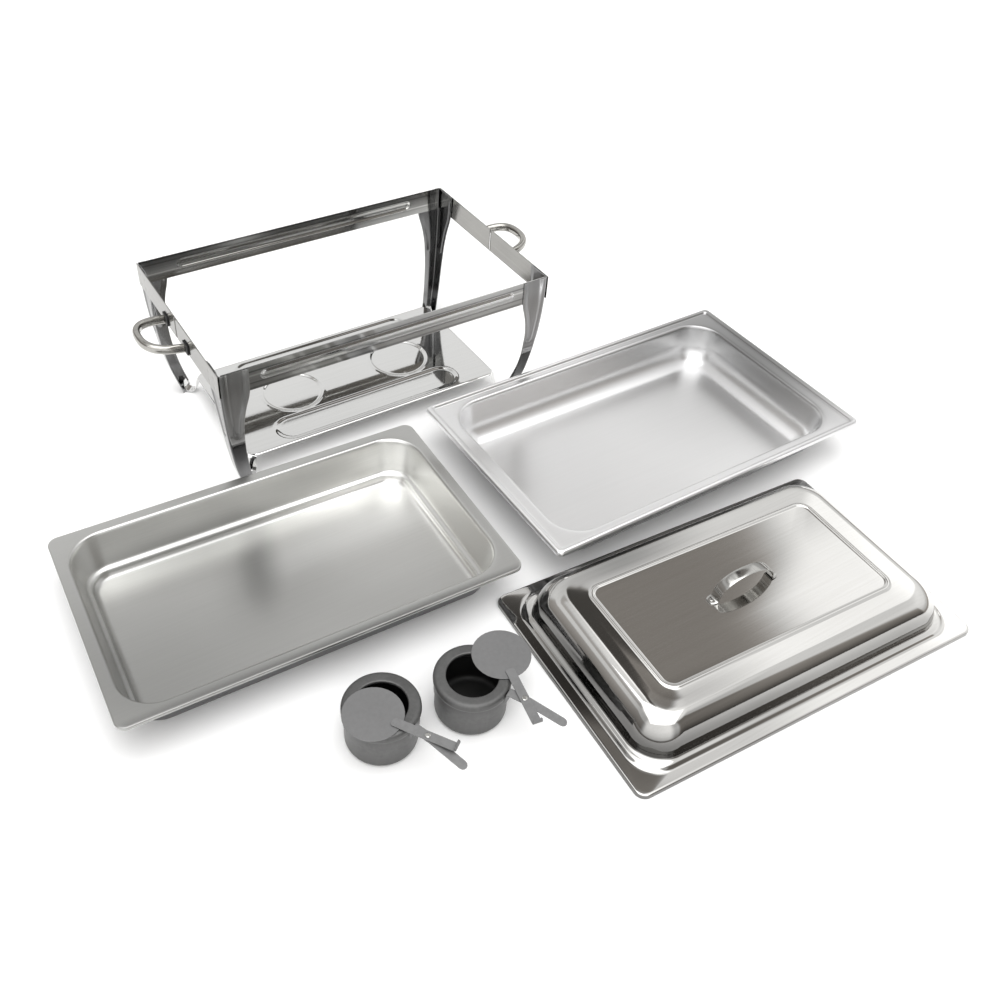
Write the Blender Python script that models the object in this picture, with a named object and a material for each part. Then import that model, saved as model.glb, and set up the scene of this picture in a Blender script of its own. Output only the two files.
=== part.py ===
"""Chafing dish food warmer, set out ready to be put together.

The set is a welded sheet stand with a fuel shelf and two carry handles, a
water pan, a food pan, a domed lid with an arch handle, and two fuel holders
whose covers swing on a rivet. Metres, +Z up. X runs along the stand's long
side, Y across it, and every loose piece stands on the z = 0 surface.
"""

import math

import bmesh
import bpy
from mathutils import Matrix, Vector
from mathutils.geometry import delaunay_2d_cdt

MM = 0.001

# ---------------------------------------------------------------- dimensions
# Everything below is in millimetres.

# Where each loose piece stands: x, y of its centre and its turn in degrees.
SHIFT_X = -41.4
SHIFT_Y = 345.535
STAND_AT = (0.0, 0.0, 0.0)
WATER_AT = (329.8, -344.7, 0.2)
FOOD_AT = (-261.3, -341.3, -1.9)
LID_AT = (226.6, -674.5, -2.9)
BURNER_LEFT_AT = (-262.4, -603.3)
BURNER_RIGHT_AT = (-150.5, -620.4)
BURNER_LEFT_ARM = -69.2       # direction of the fixed strip, degrees
BURNER_RIGHT_ARM = -60.9
COVER_LEFT_SWING = 13.9       # turn of the cover away from closed, degrees
COVER_RIGHT_SWING = -39.3

# Stand
RING_HX = 264.0
RING_HY = 160.0
RING_TOP = 229.0
RAIL_H = 38.0
SHEET = 1.2
GAP = 0.3
LEG_WING_TOP = 42.0
RAIL_BEAD_HX = 204.0
RAIL_BEAD_HY = 7.6
RAIL_BEAD_OUT = 2.4
SHELF_HX = 214.0
SHELF_HY = 112.0
SHELF_TOP = 33.0
WELL_X = 95.5
WELL_R = 44.6
WELL_DEEP = 2.2
HANDLE_ROOT_Y = 40.0
HANDLE_REACH = 317.0
HANDLE_ROOT_Z = 201.0
HANDLE_END_Z = 209.0
HANDLE_THICK = 10.8
HANDLE_TALL = 13.4

# Food pan
FOOD_RIM_HX = 265.0
FOOD_RIM_HY = 162.5
FOOD_MOUTH_HX = 250.0
FOOD_MOUTH_HY = 147.0
FOOD_H = 65.0
PAN_SHEET = 1.0

# Water pan
WATER_RIM_HX = 283.5
WATER_RIM_HY = 174.0
WATER_MOUTH_HX = 256.0
WATER_MOUTH_HY = 155.0
WATER_H = 65.5
WATER_LIP = 3.8

# Lid
LID_RIM_HX = 270.6
LID_RIM_HY = 165.0
LID_TOP = 58.2
LID_BEAD_HX = 183.0
LID_BEAD_HY = 86.0
LID_HANDLE_HALF = 45.0
LID_HANDLE_RISE = 33.0
LID_HANDLE_W = 15.0

# Fuel holders
CUP_R = 43.6
CUP_H = 41.0
CUP_SHEET = 0.9
COLLAR_R = 46.6
COLLAR_TOP = 62.0
COLLAR_LOW = 36.5
STRIP_DROP = 7.5              # how far the strip's tail slopes down
MOUTH_R = 31.0
PIVOT_R = 68.2                # from the cup's axis to the cover's rivet
STRIP_END = 122.5
STRIP_W = 11.0
COVER_R = 36.0
LEVER_TAIL = 40.0
RIVET_R = 1.6


# ------------------------------------------------------------------- helpers
for old in list(bpy.data.objects):
    bpy.data.objects.remove(old, do_unlink=True)


def material(name, colour, metallic, rough):
    m = bpy.data.materials.new(name)
    m.use_nodes = True
    b = m.node_tree.nodes["Principled BSDF"]
    b.inputs["Base Color"].default_value = (*colour, 1.0)
    b.inputs["Metallic"].default_value = metallic
    b.inputs["Roughness"].default_value = rough
    m.diffuse_color = (*colour, 1.0)
    return m


def add(name, bm, mat, parent=None, smooth=30.0):
    """Make a named object from a bmesh whose coordinates are in millimetres."""
    bmesh.ops.recalc_face_normals(bm, faces=bm.faces[:])
    me = bpy.data.meshes.new(name)
    bm.to_mesh(me)
    bm.free()
    me.transform(Matrix.Scale(MM, 4))
    me.shade_smooth()
    me.set_sharp_from_angle(angle=math.radians(smooth))
    me.materials.append(mat)
    ob = bpy.data.objects.new(name, me)
    bpy.context.scene.collection.objects.link(ob)
    if parent is not None:
        ob.parent = parent
    return ob


def empty(name, x, y, z=0.0, turn=0.0, parent=None):
    """A holder for pieces that share one place; x, y and z are in mm."""
    e = bpy.data.objects.new(name, None)
    bpy.context.scene.collection.objects.link(e)
    e.location = (x * MM, y * MM, z * MM)
    e.rotation_euler = (0.0, 0.0, math.radians(turn))
    if parent is not None:
        e.parent = parent
    return e


def join_rings(bm, rings, cap_first=True, cap_last=True, loop=False):
    """Skin a list of equal-length closed rings of points."""
    made = [[bm.verts.new(p) for p in ring] for ring in rings]
    n = len(made[0])
    pairs = list(zip(made, made[1:]))
    if loop:
        pairs.append((made[-1], made[0]))
    for a, b in pairs:
        for i in range(n):
            j = (i + 1) % n
            bm.faces.new((a[i], a[j], b[j], b[i]))
    if not loop:
        if cap_first:
            bm.faces.new(made[0][::-1])
        if cap_last:
            bm.faces.new(made[-1])
    return made


def round_rect(hx, hy, r, z, n=6):
    """A ring of points round a rectangle with quarter-circle corners."""
    pts = []
    for cx, cy, a0 in (
        (hx - r, hy - r, 0),
        (-(hx - r), hy - r, 90),
        (-(hx - r), -(hy - r), 180),
        (hx - r, -(hy - r), 270),
    ):
        for k in range(n + 1):
            a = math.radians(a0 + 90.0 * k / n)
            pts.append(Vector((cx + r * math.cos(a), cy + r * math.sin(a), z)))
    return pts


def offset_profile(prof, t):
    """Each row (out, ..., z) moved by t to the underside of the sheet.

    The path is walked outwards from the middle, so a step outwards has its
    underside below it and a step upwards has it on the outside.
    """
    out = []
    last = len(prof) - 1
    for i, row in enumerate(prof):
        h, z = row[0], row[-1]
        dirs = []
        if i > 0:
            dirs.append((h - prof[i - 1][0], z - prof[i - 1][-1]))
        if i < last:
            dirs.append((prof[i + 1][0] - h, prof[i + 1][-1] - z))
        ns = []
        for dh, dz in dirs:
            ln = math.hypot(dh, dz)
            ns.append((dz / ln, -dh / ln))
        nh = sum(v[0] for v in ns) / len(ns)
        nz = sum(v[1] for v in ns) / len(ns)
        ln2 = nh * nh + nz * nz
        nh, nz = nh / ln2, nz / ln2
        out.append((nh * t, nz * t))
    return out


def tray(name, prof, t, mat, parent, n=6):
    """A pressed tray or lid: rows of (half x, half y, corner radius, z)."""
    off = offset_profile(prof, t)
    top = [round_rect(hx, hy, r, z, n) for hx, hy, r, z in prof]
    low = [
        round_rect(hx + dh, hy + dh, max(r + dh, 0.8), z + dz, n)
        for (hx, hy, r, z), (dh, dz) in zip(prof, off)
    ]
    bm = bmesh.new()
    join_rings(bm, top + low[::-1])
    return add(name, bm, mat, parent)


def circle(r, z, n):
    return [
        Vector((r * math.cos(2 * math.pi * k / n), r * math.sin(2 * math.pi * k / n), z))
        for k in range(n)
    ]


def turned_sheet(name, prof, t, mat, parent, n=32, ring=False, smooth=30.0):
    """A spun sheet part: rows of (radius, z); ring leaves the middle open."""
    off = offset_profile(prof, t)
    top = [circle(r, z, n) for r, z in prof]
    low = [circle(r + dr, z + dz, n) for (r, z), (dr, dz) in zip(prof, off)]
    bm = bmesh.new()
    join_rings(bm, top + low[::-1], loop=ring)
    return add(name, bm, mat, parent, smooth)


def turned_solid(name, prof, mat, parent, n=20, at=(0.0, 0.0)):
    bm = bmesh.new()
    rings = [
        [p + Vector((at[0], at[1], 0.0)) for p in circle(r, z, n)] for r, z in prof
    ]
    join_rings(bm, rings)
    return add(name, bm, mat, parent)


def pressed_plate(outline, reliefs, holes, t, to_world):
    """A flat sheet with raised or sunk panels.

    outline and holes are loops of 2-D points. reliefs is a list of
    (loop, height): the points of a loop lie that far off the sheet's plane,
    and everything inside the innermost loop of a panel keeps its height.
    to_world turns (u, v, height) into a point.
    """
    loops = [(outline, 0.0)] + reliefs + [(h, None) for h in holes]
    pts, edges, height = [], [], []
    for loop, hgt in loops:
        base = len(pts)
        for p in loop:
            pts.append(Vector((p[0], p[1])))
            height.append(hgt)
        m = len(loop)
        edges += [(base + k, base + (k + 1) % m) for k in range(m)]
    v2, _, faces, _, _, _ = delaunay_2d_cdt(pts, edges, [], 0, 1e-5)

    def inside(p, loop):
        hit = False
        m = len(loop)
        for k in range(m):
            a, b = loop[k], loop[(k + 1) % m]
            if (a[1] > p[1]) != (b[1] > p[1]):
                x = a[0] + (p[1] - a[1]) * (b[0] - a[0]) / (b[1] - a[1])
                if p[0] < x:
                    hit = not hit
        return hit

    def lift(p):
        for q, h in zip(pts, height):
            if abs(q.x - p.x) < 1e-4 and abs(q.y - p.y) < 1e-4:
                if h is not None:
                    return h
                for loop, hh in reversed(reliefs):
                    if inside(q, loop):
                        return hh
                return 0.0
        return 0.0

    keep = []
    for f in faces:
        c = sum((v2[i] for i in f), Vector((0.0, 0.0))) / len(f)
        if inside(c, outline) and not any(inside(c, h) for h in holes):
            keep.append(f)
    bm = bmesh.new()
    hs = [lift(p) for p in v2]
    upper = {}
    lower = {}
    for f in keep:
        for i in f:
            if i not in upper:
                upper[i] = bm.verts.new(to_world(v2[i].x, v2[i].y, hs[i]))
                lower[i] = bm.verts.new(to_world(v2[i].x, v2[i].y, hs[i] - t))
    count = {}
    for f in keep:
        bm.faces.new([upper[i] for i in f])
        bm.faces.new([lower[i] for i in reversed(f)])
        m = len(f)
        for k in range(m):
            a, b = f[k], f[(k + 1) % m]
            count[(a, b)] = count.get((a, b), 0) + 1
    for a, b in list(count):
        if (b, a) not in count:
            bm.faces.new((upper[b], upper[a], lower[a], lower[b]))
    return bm


def stadium(cx, cy, hx, hy, n=6):
    """A long rounded panel's outline."""
    r = hy
    pts = []
    for sx, a0 in ((1, -90), (-1, 90)):
        for k in range(n + 1):
            a = math.radians(a0 + 180.0 * k / n)
            pts.append((cx + sx * (hx - r) + r * math.cos(a), cy + r * math.sin(a)))
    return pts


def disc(cx, cy, r, n=32):
    return [
        (cx + r * math.cos(2 * math.pi * k / n), cy + r * math.sin(2 * math.pi * k / n))
        for k in range(n)
    ]


# ----------------------------------------------------------------- materials
POLISHED = material("polished_sheet", (0.62, 0.62, 0.60), 1.0, 0.12)
LEG_STEEL = material("leg_sheet", (0.50, 0.50, 0.49), 1.0, 0.16)
SHELF_STEEL = material("shelf_sheet", (0.74, 0.74, 0.73), 1.0, 0.18)
TUBE_STEEL = material("handle_tube", (0.66, 0.65, 0.62), 1.0, 0.14)
CLIP_STEEL = material("clip_steel", (0.10, 0.10, 0.10), 1.0, 0.35)
SATIN_FOOD = material("satin_food_pan", (0.58, 0.58, 0.56), 1.0, 0.34)
SATIN_WATER = material("satin_water_pan", (0.72, 0.72, 0.72), 1.0, 0.30)
MIRROR_LID = material("mirror_lid", (0.64, 0.63, 0.61), 1.0, 0.08)
BURNER_STEEL = material("burner_steel", (0.24, 0.24, 0.235), 0.85, 0.48)
COVER_STEEL = material("cover_steel", (0.25, 0.25, 0.25), 0.75, 0.55)
RIVET_STEEL = material("rivet_steel", (0.62, 0.62, 0.60), 1.0, 0.3)

# ------------------------------------------------------------------ the set
SET = empty("set_origin", SHIFT_X, SHIFT_Y)

# ---------------------------------------------------------------- the stand
stand = empty("stand_frame", STAND_AT[0], STAND_AT[1], 0.0, STAND_AT[2], SET)


def table(rows, z):
    """Straight-line reading of a short table of (height, value)."""
    for (z0, v0), (z1, v1) in zip(rows, rows[1:]):
        if z <= z1:
            return v0 + (v1 - v0) * (z - z0) / (z1 - z0)
    return rows[-1][1]


def inset_at(z):
    """How far a leg's bend has come in from the ring's corner at height z."""
    rows = (
        (0.0, 28.0), (20.0, 22.0), (46.0, 15.0), (70.0, 10.8), (93.0, 7.5),
        (130.0, 3.4), (158.0, 1.4), (180.0, 0.4), (195.0, 0.0), (RING_TOP, 0.0),
    )
    return table(rows, z)


def wing_at(z):
    """A leg wing's width at height z: wide at the rail, waisted, then even."""
    rows = (
        (0.0, 18.0), (20.0, 18.0), (55.0, 19.5), (94.0, 21.5), (133.0, 25.5),
        (162.0, 32.0), (180.0, 38.5), (RING_TOP - RAIL_H, 41.5),
        (RING_TOP, LEG_WING_TOP),
    )
    return table(rows, z)


def leg(name, sx, sy):
    """An angle of bent sheet whose bend curves in towards a rounded foot.

    The wing along X lies outside the long rail; the wing along Y lies inside
    the end rail.
    """
    bend = 3.0
    nb = 3
    stations = [
        0.0, 1.2, 1.21, 10.0, 28.0, 46.0, 70.0, 93.0, 114.0, 133.0, 150.0,
        164.0, 180.0, 192.0, RING_TOP - 0.6,
    ]
    rings = []
    for k, z in enumerate(stations):
        a = inset_at(z)
        cx = RING_HX - SHEET - GAP - a
        cy = RING_HY - a
        w = wing_at(z)
        wy = w
        if k <= 1:
            w -= 2.0
            wy -= 2.0
        t = SHEET
        pts = []
        # outside of the angle, from the end of the X wing round to the Y wing
        pts.append((cx - w, cy))
        for i in range(nb + 1):
            ang = math.radians(90.0 - 90.0 * i / nb)
            pts.append((cx - bend + bend * math.cos(ang), cy - bend + bend * math.sin(ang)))
        pts.append((cx, cy - wy))
        # inside of the angle, back again
        pts.append((cx - t, cy - wy))
        ri = bend - t
        if k <= 1:
            # the foot: a rounded pad that closes the angle at the floor
            for i in range(nb + 1):
                s = i / nb
                rr = w - t
                pts.append(
                    (
                        cx - t - rr * math.sin(math.radians(90.0 * (s * 0.86 + 0.07))),
                        cy - t - rr * math.cos(math.radians(90.0 * (s * 0.86 + 0.07))),
                    )
                )
        else:
            for i in range(nb + 1):
                ang = math.radians(90.0 * i / nb)
                pts.append(
                    (cx - bend + ri * math.cos(ang), cy - bend + ri * math.sin(ang))
                )
        pts.append((cx - w, cy - t))
        rings.append([Vector((sx * px, sy * py, z)) for px, py in pts])
    bm = bmesh.new()
    join_rings(bm, rings)
    return add(name, bm, LEG_STEEL, stand)


leg("leg_front_left", -1, -1)
leg("leg_front_right", 1, -1)
leg("leg_rear_left", -1, 1)
leg("leg_rear_right", 1, 1)


def long_rail(name, sy):
    """A long side of the top ring: flat sheet with one long pressed bead."""
    hx = RING_HX - SHEET - GAP - SHEET - 2.4
    hy = RAIL_H / 2
    base = RING_HY - SHEET - GAP
    zc = RING_TOP - hy

    def place(u, v, h):
        return Vector((u, sy * (base + h), zc + v))

    reliefs = [
        (stadium(0, 1.0, RAIL_BEAD_HX, RAIL_BEAD_HY), 0.0),
        (stadium(0, 1.0, RAIL_BEAD_HX - 2.4, RAIL_BEAD_HY - 2.4), RAIL_BEAD_OUT),
        (stadium(0, 1.0, RAIL_BEAD_HX - 4.4, RAIL_BEAD_HY - 4.4), RAIL_BEAD_OUT + 0.3),
    ]
    out = [(-hx, -hy), (hx, -hy), (hx, hy), (-hx, hy)]
    bm = pressed_plate(out, reliefs, [], SHEET, place)
    return add(name, bm, POLISHED, stand)


long_rail("rail_front", -1)
long_rail("rail_rear", 1)


def end_rail(name, sx, sy):
    """Half of an end of the top ring, from the corner to the middle seam."""
    x1 = sx * RING_HX
    x0 = sx * (RING_HX - SHEET)
    y0 = sy * 1.1
    y1 = sy * (RING_HY - 0.4)
    z0, z1 = RING_TOP - RAIL_H, RING_TOP
    c = 1.6
    ring = []
    for x in (x0, x1):
        ring.append(
            [
                Vector((x, y0, z0)),
                Vector((x, y1, z0)),
                Vector((x, y1, z1 - c)),
                Vector((x, y1 - sy * c, z1)),
                Vector((x, y0 + sy * c, z1)),
                Vector((x, y0, z1 - c)),
            ]
        )
    bm = bmesh.new()
    join_rings(bm, ring)
    return add(name, bm, POLISHED, stand)


end_rail("end_rail_left_front", -1, -1)
end_rail("end_rail_left_rear", -1, 1)
end_rail("end_rail_right_front", 1, -1)
end_rail("end_rail_right_rear", 1, 1)

# The fuel shelf: a pressed plate between the legs with two round wells for the
# fuel holders and a long sunk panel along each side. A bent strap under each
# corner drops to the floor and curls up into the angle of the leg.
SHELF_CHAMFER = 9.0


def shelf_outline():
    hx, hy, c = SHELF_HX, SHELF_HY, SHELF_CHAMFER
    return [
        (-hx + c, -hy), (hx - c, -hy), (hx, -hy + c), (hx, hy - c),
        (hx - c, hy), (-hx + c, hy), (-hx, hy - c), (-hx, -hy + c),
    ]


def shelf():
    def place(u, v, h):
        return Vector((u, v, SHELF_TOP + h))

    reliefs = []
    for cx in (-WELL_X, WELL_X):
        reliefs += [
            (disc(cx, 0.0, WELL_R + 2.4, 32), 0.0),
            (disc(cx, 0.0, WELL_R + 1.2, 32), -WELL_DEEP * 0.5),
            (disc(cx, 0.0, WELL_R, 32), -WELL_DEEP),
        ]
    for cy in (-79.0, 79.0):
        reliefs += [
            (stadium(0, cy, 156.0, 24.0), 0.0),
            (stadium(0, cy, 154.0, 22.0), -1.8),
        ]
    bm = pressed_plate(shelf_outline(), reliefs, [], SHEET, place)
    return add("fuel_shelf", bm, SHELF_STEEL, stand)


shelf()


def shelf_strap(name, sx, sy):
    """A bent strap from under a shelf corner down and out into the leg's foot."""
    a = inset_at(6.0)
    leg_x = RING_HX - SHEET - GAP - a - SHEET
    leg_y = RING_HY - a - SHEET
    sh_x, sh_y = SHELF_HX - SHELF_CHAMFER / 2, SHELF_HY - SHELF_CHAMFER / 2
    far = math.hypot(leg_x - sh_x, leg_y - sh_y)
    ux, uy = (leg_x - sh_x) / far, (leg_y - sh_y) / far
    t = SHEET
    w = 6.5
    z1 = SHELF_TOP - SHEET - GAP - t
    # middle line: distance outwards from the shelf's corner, height, half width
    line = (
        (-16.0, z1, w - 2.0), (-13.5, z1, w), (-2.5, z1, w), (0.4, z1 - 1.0, w),
        (1.8, z1 - 3.6, w), (4.2, 14.0, w), (6.8, 7.2, w), (10.8, 3.2, w),
        (16.0, 1.8, w), (far - 17.0, 2.0, w), (far - 12.6, 3.6, w),
        (far - 10.2, 7.2, w), (far - 9.2, 12.0, w - 0.6), (far - 9.0, 19.0, w - 2.6),
    )
    rings = []
    last = len(line) - 1
    for i, (s, z, hw) in enumerate(line):
        p0 = line[max(i - 1, 0)]
        p1 = line[min(i + 1, last)]
        ds, dz = p1[0] - p0[0], p1[1] - p0[1]
        ln = math.hypot(ds, dz)
        ns, nz = -dz / ln, ds / ln
        ring = []
        for v, h in ((-hw, 0.0), (hw, 0.0), (hw, t), (-hw, t)):
            q = s + ns * h
            ring.append(
                Vector(
                    (
                        sx * (sh_x + ux * q - uy * v),
                        sy * (sh_y + uy * q + ux * v),
                        z + nz * h,
                    )
                )
            )
        rings.append(ring)
    bm = bmesh.new()
    join_rings(bm, rings)
    return add(name, bm, SHELF_STEEL, stand)


shelf_strap("shelf_strap_front_left", -1, -1)
shelf_strap("shelf_strap_front_right", 1, -1)
shelf_strap("shelf_strap_rear_left", -1, 1)
shelf_strap("shelf_strap_rear_right", 1, 1)


def handle_path(n=20):
    """The middle line of a carry handle: out of one root, round, and back."""
    x0 = RING_HX + 2.6 + GAP
    pts = []
    reach = HANDLE_REACH - x0
    for k in range(n + 1):
        a = math.pi * k / n
        c, f = math.cos(a), abs(math.sin(a)) ** 0.62
        pts.append(
            (
                x0 + reach * f,
                (HANDLE_ROOT_Y - 2.0 * f) * math.copysign(abs(c) ** 0.80, c),
                HANDLE_ROOT_Z + (HANDLE_END_Z - HANDLE_ROOT_Z) * f,
            )
        )
    return pts


def carry_handle(name, sx):
    """A bent oval bar whose two ends meet the clips on the end rail."""
    path = [Vector((sx * x, y, z)) for x, y, z in handle_path()]
    n = 10
    rings = []
    last = len(path) - 1
    for i, p in enumerate(path):
        if i == 0 or i == last:
            d = Vector((sx if i == 0 else -sx, 0.0, 0.0))
        else:
            d = (path[i + 1] - path[i - 1]).normalized()
        side = d.cross(Vector((0.0, 0.0, 1.0))).normalized()
        up = side.cross(d)
        rings.append(
            [
                p
                + side * (HANDLE_THICK / 2 * math.cos(2 * math.pi * k / n))
                + up * (HANDLE_TALL / 2 * math.sin(2 * math.pi * k / n))
                for k in range(n)
            ]
        )
    bm = bmesh.new()
    join_rings(bm, rings)
    return add(name, bm, TUBE_STEEL, stand, 40.0)


carry_handle("carry_handle_left", -1)
carry_handle("carry_handle_right", 1)


def handle_clip(name, sx, sy):
    """The plate that fixes one end of a carry handle to the end rail."""
    h = 8.2
    x0 = sx * (RING_HX + GAP)
    x1 = sx * (RING_HX + 2.6)
    yc = sy * HANDLE_ROOT_Y
    ring = []
    for x, hh in ((x0, h), (x1 - sx * 0.7, h), (x1, h - 0.7)):
        ring.append(
            [
                Vector((x, yc - hh, HANDLE_ROOT_Z - hh)),
                Vector((x, yc + hh, HANDLE_ROOT_Z - hh)),
                Vector((x, yc + hh, HANDLE_ROOT_Z + hh)),
                Vector((x, yc - hh, HANDLE_ROOT_Z + hh)),
            ]
        )
    bm = bmesh.new()
    join_rings(bm, ring)
    return add(name, bm, CLIP_STEEL, stand)


handle_clip("handle_clip_left_front", -1, -1)
handle_clip("handle_clip_left_rear", -1, 1)
handle_clip("handle_clip_right_front", 1, -1)
handle_clip("handle_clip_right_rear", 1, 1)

# ------------------------------------------------------------- the food pan
food = empty("food_pan_place", FOOD_AT[0], FOOD_AT[1], 0.0, FOOD_AT[2], SET)


def inset_rows(hx, hy, r, rows):
    return [(hx - d, hy - d, max(r - d, 4.0), z) for d, z in rows]


def food_profile():
    hx, hy, r, h = FOOD_MOUTH_HX, FOOD_MOUTH_HY, 50.0, FOOD_H
    t = PAN_SHEET
    rows = inset_rows(
        hx, hy, r,
        [
            (60.0, t), (29.0, t), (25.6, t + 0.7), (22.8, t + 2.6), (20.9, t + 5.4),
            (20.2, t + 8.6), (18.8, t + 10.6), (14.6, t + 12.0), (13.0, t + 13.4),
            (12.3, t + 15.6), (3.2, h - 5.0), (2.2, h - 2.4), (0.4, h - 0.6),
            (-2.2, h),
        ],
    )
    rows += [
        (FOOD_RIM_HX - 2.0, FOOD_RIM_HY - 2.0, 12.5, h),
        (FOOD_RIM_HX - 0.5, FOOD_RIM_HY - 0.5, 13.6, h - 0.6),
        (FOOD_RIM_HX, FOOD_RIM_HY, 14.0, h - 2.0),
        (FOOD_RIM_HX, FOOD_RIM_HY, 14.0, h - 4.0),
    ]
    return rows


tray("food_pan", food_profile(), PAN_SHEET, SATIN_FOOD, food)

# ------------------------------------------------------------ the water pan
water = empty("water_pan_place", WATER_AT[0], WATER_AT[1], 0.0, WATER_AT[2], SET)


def water_profile():
    hx, hy, r, h = WATER_MOUTH_HX, WATER_MOUTH_HY, 50.0, WATER_H
    t = PAN_SHEET
    curve = [
        (38.0 - 32.0 * math.sin(math.radians(a)), t + 33.0 * (1 - math.cos(math.radians(a))))
        for a in (0, 14, 28, 42, 56, 72, 90)
    ]
    rows = inset_rows(
        hx, hy, r,
        [(60.0, t)] + curve + [(2.8, h - 6.0), (2.0, h - 3.0), (0.3, h - 0.8), (-2.6, h)],
    )
    top = h + WATER_LIP
    rx, ry = WATER_RIM_HX, WATER_RIM_HY
    rows += [
        (rx - 10.6, ry - 8.6, 5.0, h),
        (rx - 9.4, ry - 7.4, 5.4, h + 0.9),
        (rx - 8.6, ry - 6.6, 5.8, top - 1.2),
        (rx - 6.8, ry - 5.2, 6.2, top),
        (rx - 2.6, ry - 2.6, 6.8, top),
        (rx - 0.6, ry - 0.6, 7.4, top - 1.2),
        (rx, ry, 7.8, top - 3.2),
        (rx, ry, 7.8, h - 4.0),
    ]
    return rows


tray("water_pan", water_profile(), PAN_SHEET, SATIN_WATER, water)

# ------------------------------------------------------------------ the lid
lid = empty("lid_place", LID_AT[0], LID_AT[1], 0.0, LID_AT[2], SET)


def lid_profile():
    bx, by, top = LID_BEAD_HX, LID_BEAD_HY, LID_TOP
    rx, ry = LID_RIM_HX, LID_RIM_HY
    rows = [
        (130.0, 40.0, 14.0, top),
        (bx - 3.0, by - 3.0, 14.0, top),
        (bx - 1.3, by - 1.3, 15.6, top + 1.1),
        (bx + 1.3, by + 1.3, 18.0, top + 1.1),
        (bx + 3.2, by + 3.2, 19.8, top - 0.2),
        (200.0, 103.0, 29.0, top - 0.8),
    ]
    # the shoulder turns down into the side
    for a in (4, 17, 30, 43, 56, 69, 90):
        u = math.sin(math.radians(a)) ** 0.95
        v = max(math.cos(math.radians(a)), 0.0) ** 0.95
        rows.append((207.5 + 36.1 * u, 110.0 + 30.2 * u, 34.0 + 9.0 * u, 11.4 + (top - 12.8) * v))
    rows += [
        (246.2, 142.6, 43.0, 10.2),
        (250.4, 146.2, 42.0, 9.6),
        (252.4, 148.0, 41.0, 7.8),
        (254.4, 149.8, 40.0, 6.2),
        (rx - 1.6, ry - 1.6, 12.4, 6.0),
        (rx - 0.4, ry - 0.4, 13.6, 5.2),
        (rx, ry, 14.0, 3.6),
        (rx, ry, 14.0, 0.0),
    ]
    return rows


tray("lid_shell", lid_profile(), PAN_SHEET, MIRROR_LID, lid)


def lid_handle():
    """An arch of bent band with a flat foot at each end."""
    w = LID_HANDLE_W / 2
    z0 = LID_TOP + GAP
    t = 1.6
    # the side view of the band's underside, from foot to foot
    half, rise = LID_HANDLE_HALF, LID_HANDLE_RISE
    line = [(-(half + 10.0), z0)]
    n = 22
    for k in range(n + 1):
        s = math.pi * (1.0 - k / n)
        c, d = math.cos(s), math.sin(s)
        line.append(
            (
                (half - 1.0) * math.copysign(abs(c) ** 0.84, c),
                z0 + (rise - t) * abs(d) ** 0.88,
            )
        )
    line.append((half + 10.0, z0))
    rings = []
    last = len(line) - 1
    for i, (x, z) in enumerate(line):
        if i == 0:
            d = (line[1][0] - x, line[1][1] - z)
        elif i == last:
            d = (x - line[-2][0], z - line[-2][1])
        else:
            d1 = (x - line[i - 1][0], z - line[i - 1][1])
            d2 = (line[i + 1][0] - x, line[i + 1][1] - z)
            l1, l2 = math.hypot(*d1), math.hypot(*d2)
            d = (d1[0] / l1 + d2[0] / l2, d1[1] / l1 + d2[1] / l2)
        ln = math.hypot(*d)
        nx, nz = -d[1] / ln, d[0] / ln
        ww = w - (1.5 if i in (0, last) else 0.0)
        ring = []
        for v, h in (
            (-ww, 0.0), (ww, 0.0), (ww, t * 0.55), (ww - 1.2, t * 0.9), (0.0, t),
            (-ww + 1.2, t * 0.9), (-ww, t * 0.55),
        ):
            ring.append(Vector((x + nx * h, v, z + nz * h)))
        rings.append(ring)
    bm = bmesh.new()
    join_rings(bm, rings)
    return add("lid_handle", bm, MIRROR_LID, lid)


lid_handle()


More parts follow.
